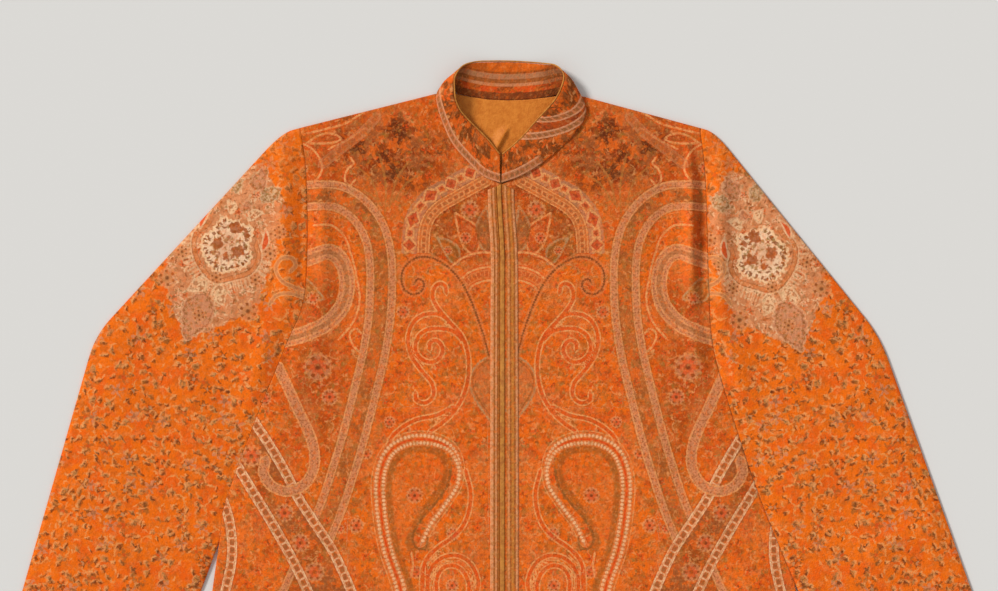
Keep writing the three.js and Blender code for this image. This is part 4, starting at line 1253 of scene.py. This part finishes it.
rim = middle[:, -1]
outward = rim - middle[:, -6]
outward /= np.linalg.norm(outward, axis=1)[:, None]
route = rim + outward * (collarFine["pipingRadius"] + collarFine["pipingGap"] * 0.5)
points, faces = tubeAlong(route, collarFine["pipingRadius"], collarFine["pipingSides"])
golden = satinPaint("golden satin", (196, 128, 52), (166, 98, 38), 0.5)
piping = clothPiece("collar_roll", points, faces, ("golden_cloth", golden, "collar_piping"), {"plan": points})
print("collar and its roll made")


# The lining that shows inside the neck, with one soft pleat down to the opening.

lining = {
    "rows": 70, "columns": 90, "lowY": -150, "topHalf": 70, "lowHalf": 14, "wall": 1,
    # the pleat: its height, its reach to either side, where it starts, and its line as y and x
    "fold": 4.4, "gentle": 9, "sharp": 2.6, "foldTop": -74, "foldColumn": 40,
    "foldLine": ((-112, -78), (-8, 10)),
}
down = np.linspace(0, 1, lining["rows"])
half = lerp(lining["topHalf"], lining["lowHalf"], down ** 1.4)[:, None]
x = cut["neckCentre"][0] + half * np.linspace(-1, 1, lining["columns"])[None]
seamLine = np.array([row[:2] for row in collarTable[7:16]])
topEdge = np.interp(x, seamLine[:, 0], seamLine[:, 1]) - 0.5
y = lerp(topEdge, lining["lowY"], down[:, None])
foldX = np.interp(y[:, lining["foldColumn"]], *lining["foldLine"])[:, None]
foldReach = np.where(x < foldX, lining["gentle"], lining["sharp"])
fold = lining["fold"] * np.exp(-((x - foldX) / foldReach) ** 2) * smooth((lining["foldTop"] - y) / 14)
ripple = 0.3 * np.sin(x / 9 + y / 21) * smooth((-60 - y) / 20)
base = lowest + 0 * x
liningTop = np.dstack([x, y, base + lining["wall"] + fold + ripple])
mustard = satinPaint("mustard satin", (214, 126, 44), (196, 108, 32), 0.42)
liningPiece = wallOfGrids("neck_lining", liningTop, np.dstack([x, y, base]),
                          ("lining_cloth", mustard, "back_neck_lining"), {"plan": (liningTop, liningTop)})


# Strips down the opening: a golden band and a striped border on the right front, a border on the left.

stripFine = {"columns": 13, "drop": 0.6, "thick": 1, "roll": 0.75}
strips = {
    "golden_band": {"side": -1, "from": 1, "to": 6.4, "slot": "golden_cloth", "node": "opening_band_right"},
    "right_border": {"side": -1, "from": 7, "to": 18.4, "slot": "border_cloth", "node": "front_border_right"},
    "left_border": {"side": 1, "from": 1, "to": 15.8, "slot": "border_cloth", "node": "front_border_left"},
}


def borderPaint(name, stripes):
    paint = Paint(name, 0.86, 0.12, (255, 200, 160))
    place = paint.field("plan")
    across = place[1]
    cloth = blend((194, 118, 52), (178, 98, 38), place[0].noise(6, 3).step(0.4, 0.62))
    wobble = unevenness(place[0]) * 0.3
    worn = 0.45 + 0.55 * place[0].noise(5, 3, 0.6).step(0.36, 0.56)
    for at, half, colour, strength in stripes:
        cloth = cloth.dyed(colour, (across + wobble).line(at, half) * worn * strength)
    return paint.finish(woven(place[0], cloth, 0.8), weave(place), 0.001)


# Stripes of each border: distance from its inner edge, half width, colour, strength.
gold, dark, light = (204, 128, 48), (142, 70, 26), (228, 154, 104)
borderStripes = {
    -1: [(0.6, 0.5, gold, 0.6), (2.2, 0.6, dark, 0.7), (4.4, 0.8, light, 0.7), (6.4, 0.7, dark, 0.6),
         (9.4, 1.6, light, 0.9)],
    1: [(0.2, 0.4, dark, 0.8), (3, 0.8, light, 0.6), (5.2, 0.7, dark, 0.65), (7.6, 0.9, gold, 0.7),
        (10.4, 0.8, dark, 0.6), (13.2, 1.4, light, 0.9)],
}
borderCloths = {-1: borderPaint("right border cloth", borderStripes[-1]),
                1: borderPaint("left border cloth", borderStripes[1])}
stripPieces = {-1: [], 1: []}
for name, strip in strips.items():
    edges = frontRows(strip["side"])
    fromRow = int(frontFine["armRows"] * cut["neckShare"]) + 1
    edges = tuple(part[fromRow:] for part in edges)
    reaches = np.linspace(strip["from"], strip["to"], stripFine["columns"])
    width = np.linalg.norm(edges[1] - edges[0], axis=1)[:, None]
    top = frontSurface(edges, reaches[None] / width)
    share = np.linspace(-1, 1, stripFine["columns"])
    top[..., 2] += cut["seamGap"] + stripFine["thick"] - stripFine["roll"] * share[None] ** 6
    place = np.dstack([np.tile(reaches - strip["from"], (len(top), 1)), top[..., 1], 0 * top[..., 0]])
    material = golden if strip["slot"] == "golden_cloth" else borderCloths[strip["side"]]
    look = (strip["slot"], material, strip["node"])
    piece = sheetOfGrid(name, top, stripFine["drop"], look, {"plan": place}, strip["side"] < 0)
    stripPieces[strip["side"]].append(piece)
print("lining and strips laid")


# Floor, light and camera.

studio = {
    "floor": (214, 212, 208), "world": 0.52, "light": 2.7, "softness": 16, "from": (-0.95, 0.55, 0.85),
    "frameWidth": 1.1976, "frameHeight": 0.006, "lens": 135, "sensor": 36, "aim": (-1.2, -280.2),
}
floorMaterial = bpy.data.materials.new("pale floor")
floorMaterial.use_nodes = True
floorShader = floorMaterial.node_tree.nodes["Principled BSDF"]
floorShader.inputs["Base Color"].default_value = hue(studio["floor"])
floorShader.inputs["Roughness"].default_value = 0.9
bpy.ops.mesh.primitive_plane_add(size=14, location=(0, 0, -0.0003))
floor = bpy.context.object
floor.name = "floor"
floor.data.materials.append(floorMaterial)
world = bpy.data.worlds.new("studio")
world.use_nodes = True
background = world.node_tree.nodes["Background"]
background.inputs["Color"].default_value = (1, 1, 1, 1)
background.inputs["Strength"].default_value = studio["world"]
bpy.context.scene.world = world
lamp = bpy.data.objects.new("key light", bpy.data.lights.new("key light", "SUN"))
lamp.data.energy, lamp.data.angle = studio["light"], math.radians(studio["softness"])
lamp.rotation_euler = Vector(studio["from"]).to_track_quat("Z", "Y").to_euler()
bpy.context.scene.collection.objects.link(lamp)
camera = bpy.data.objects.new("camera", bpy.data.cameras.new("camera"))
camera.data.lens, camera.data.sensor_width = studio["lens"], studio["sensor"]
aim = ((studio["aim"][0] + middleX) * mm, (studio["aim"][1] + topY) * mm)
camera.location = (*aim, studio["frameWidth"] * studio["lens"] / studio["sensor"] + studio["frameHeight"])
bpy.context.scene.collection.objects.link(camera)
bpy.context.scene.camera = camera
bpy.context.scene.view_settings.view_transform = "Standard"
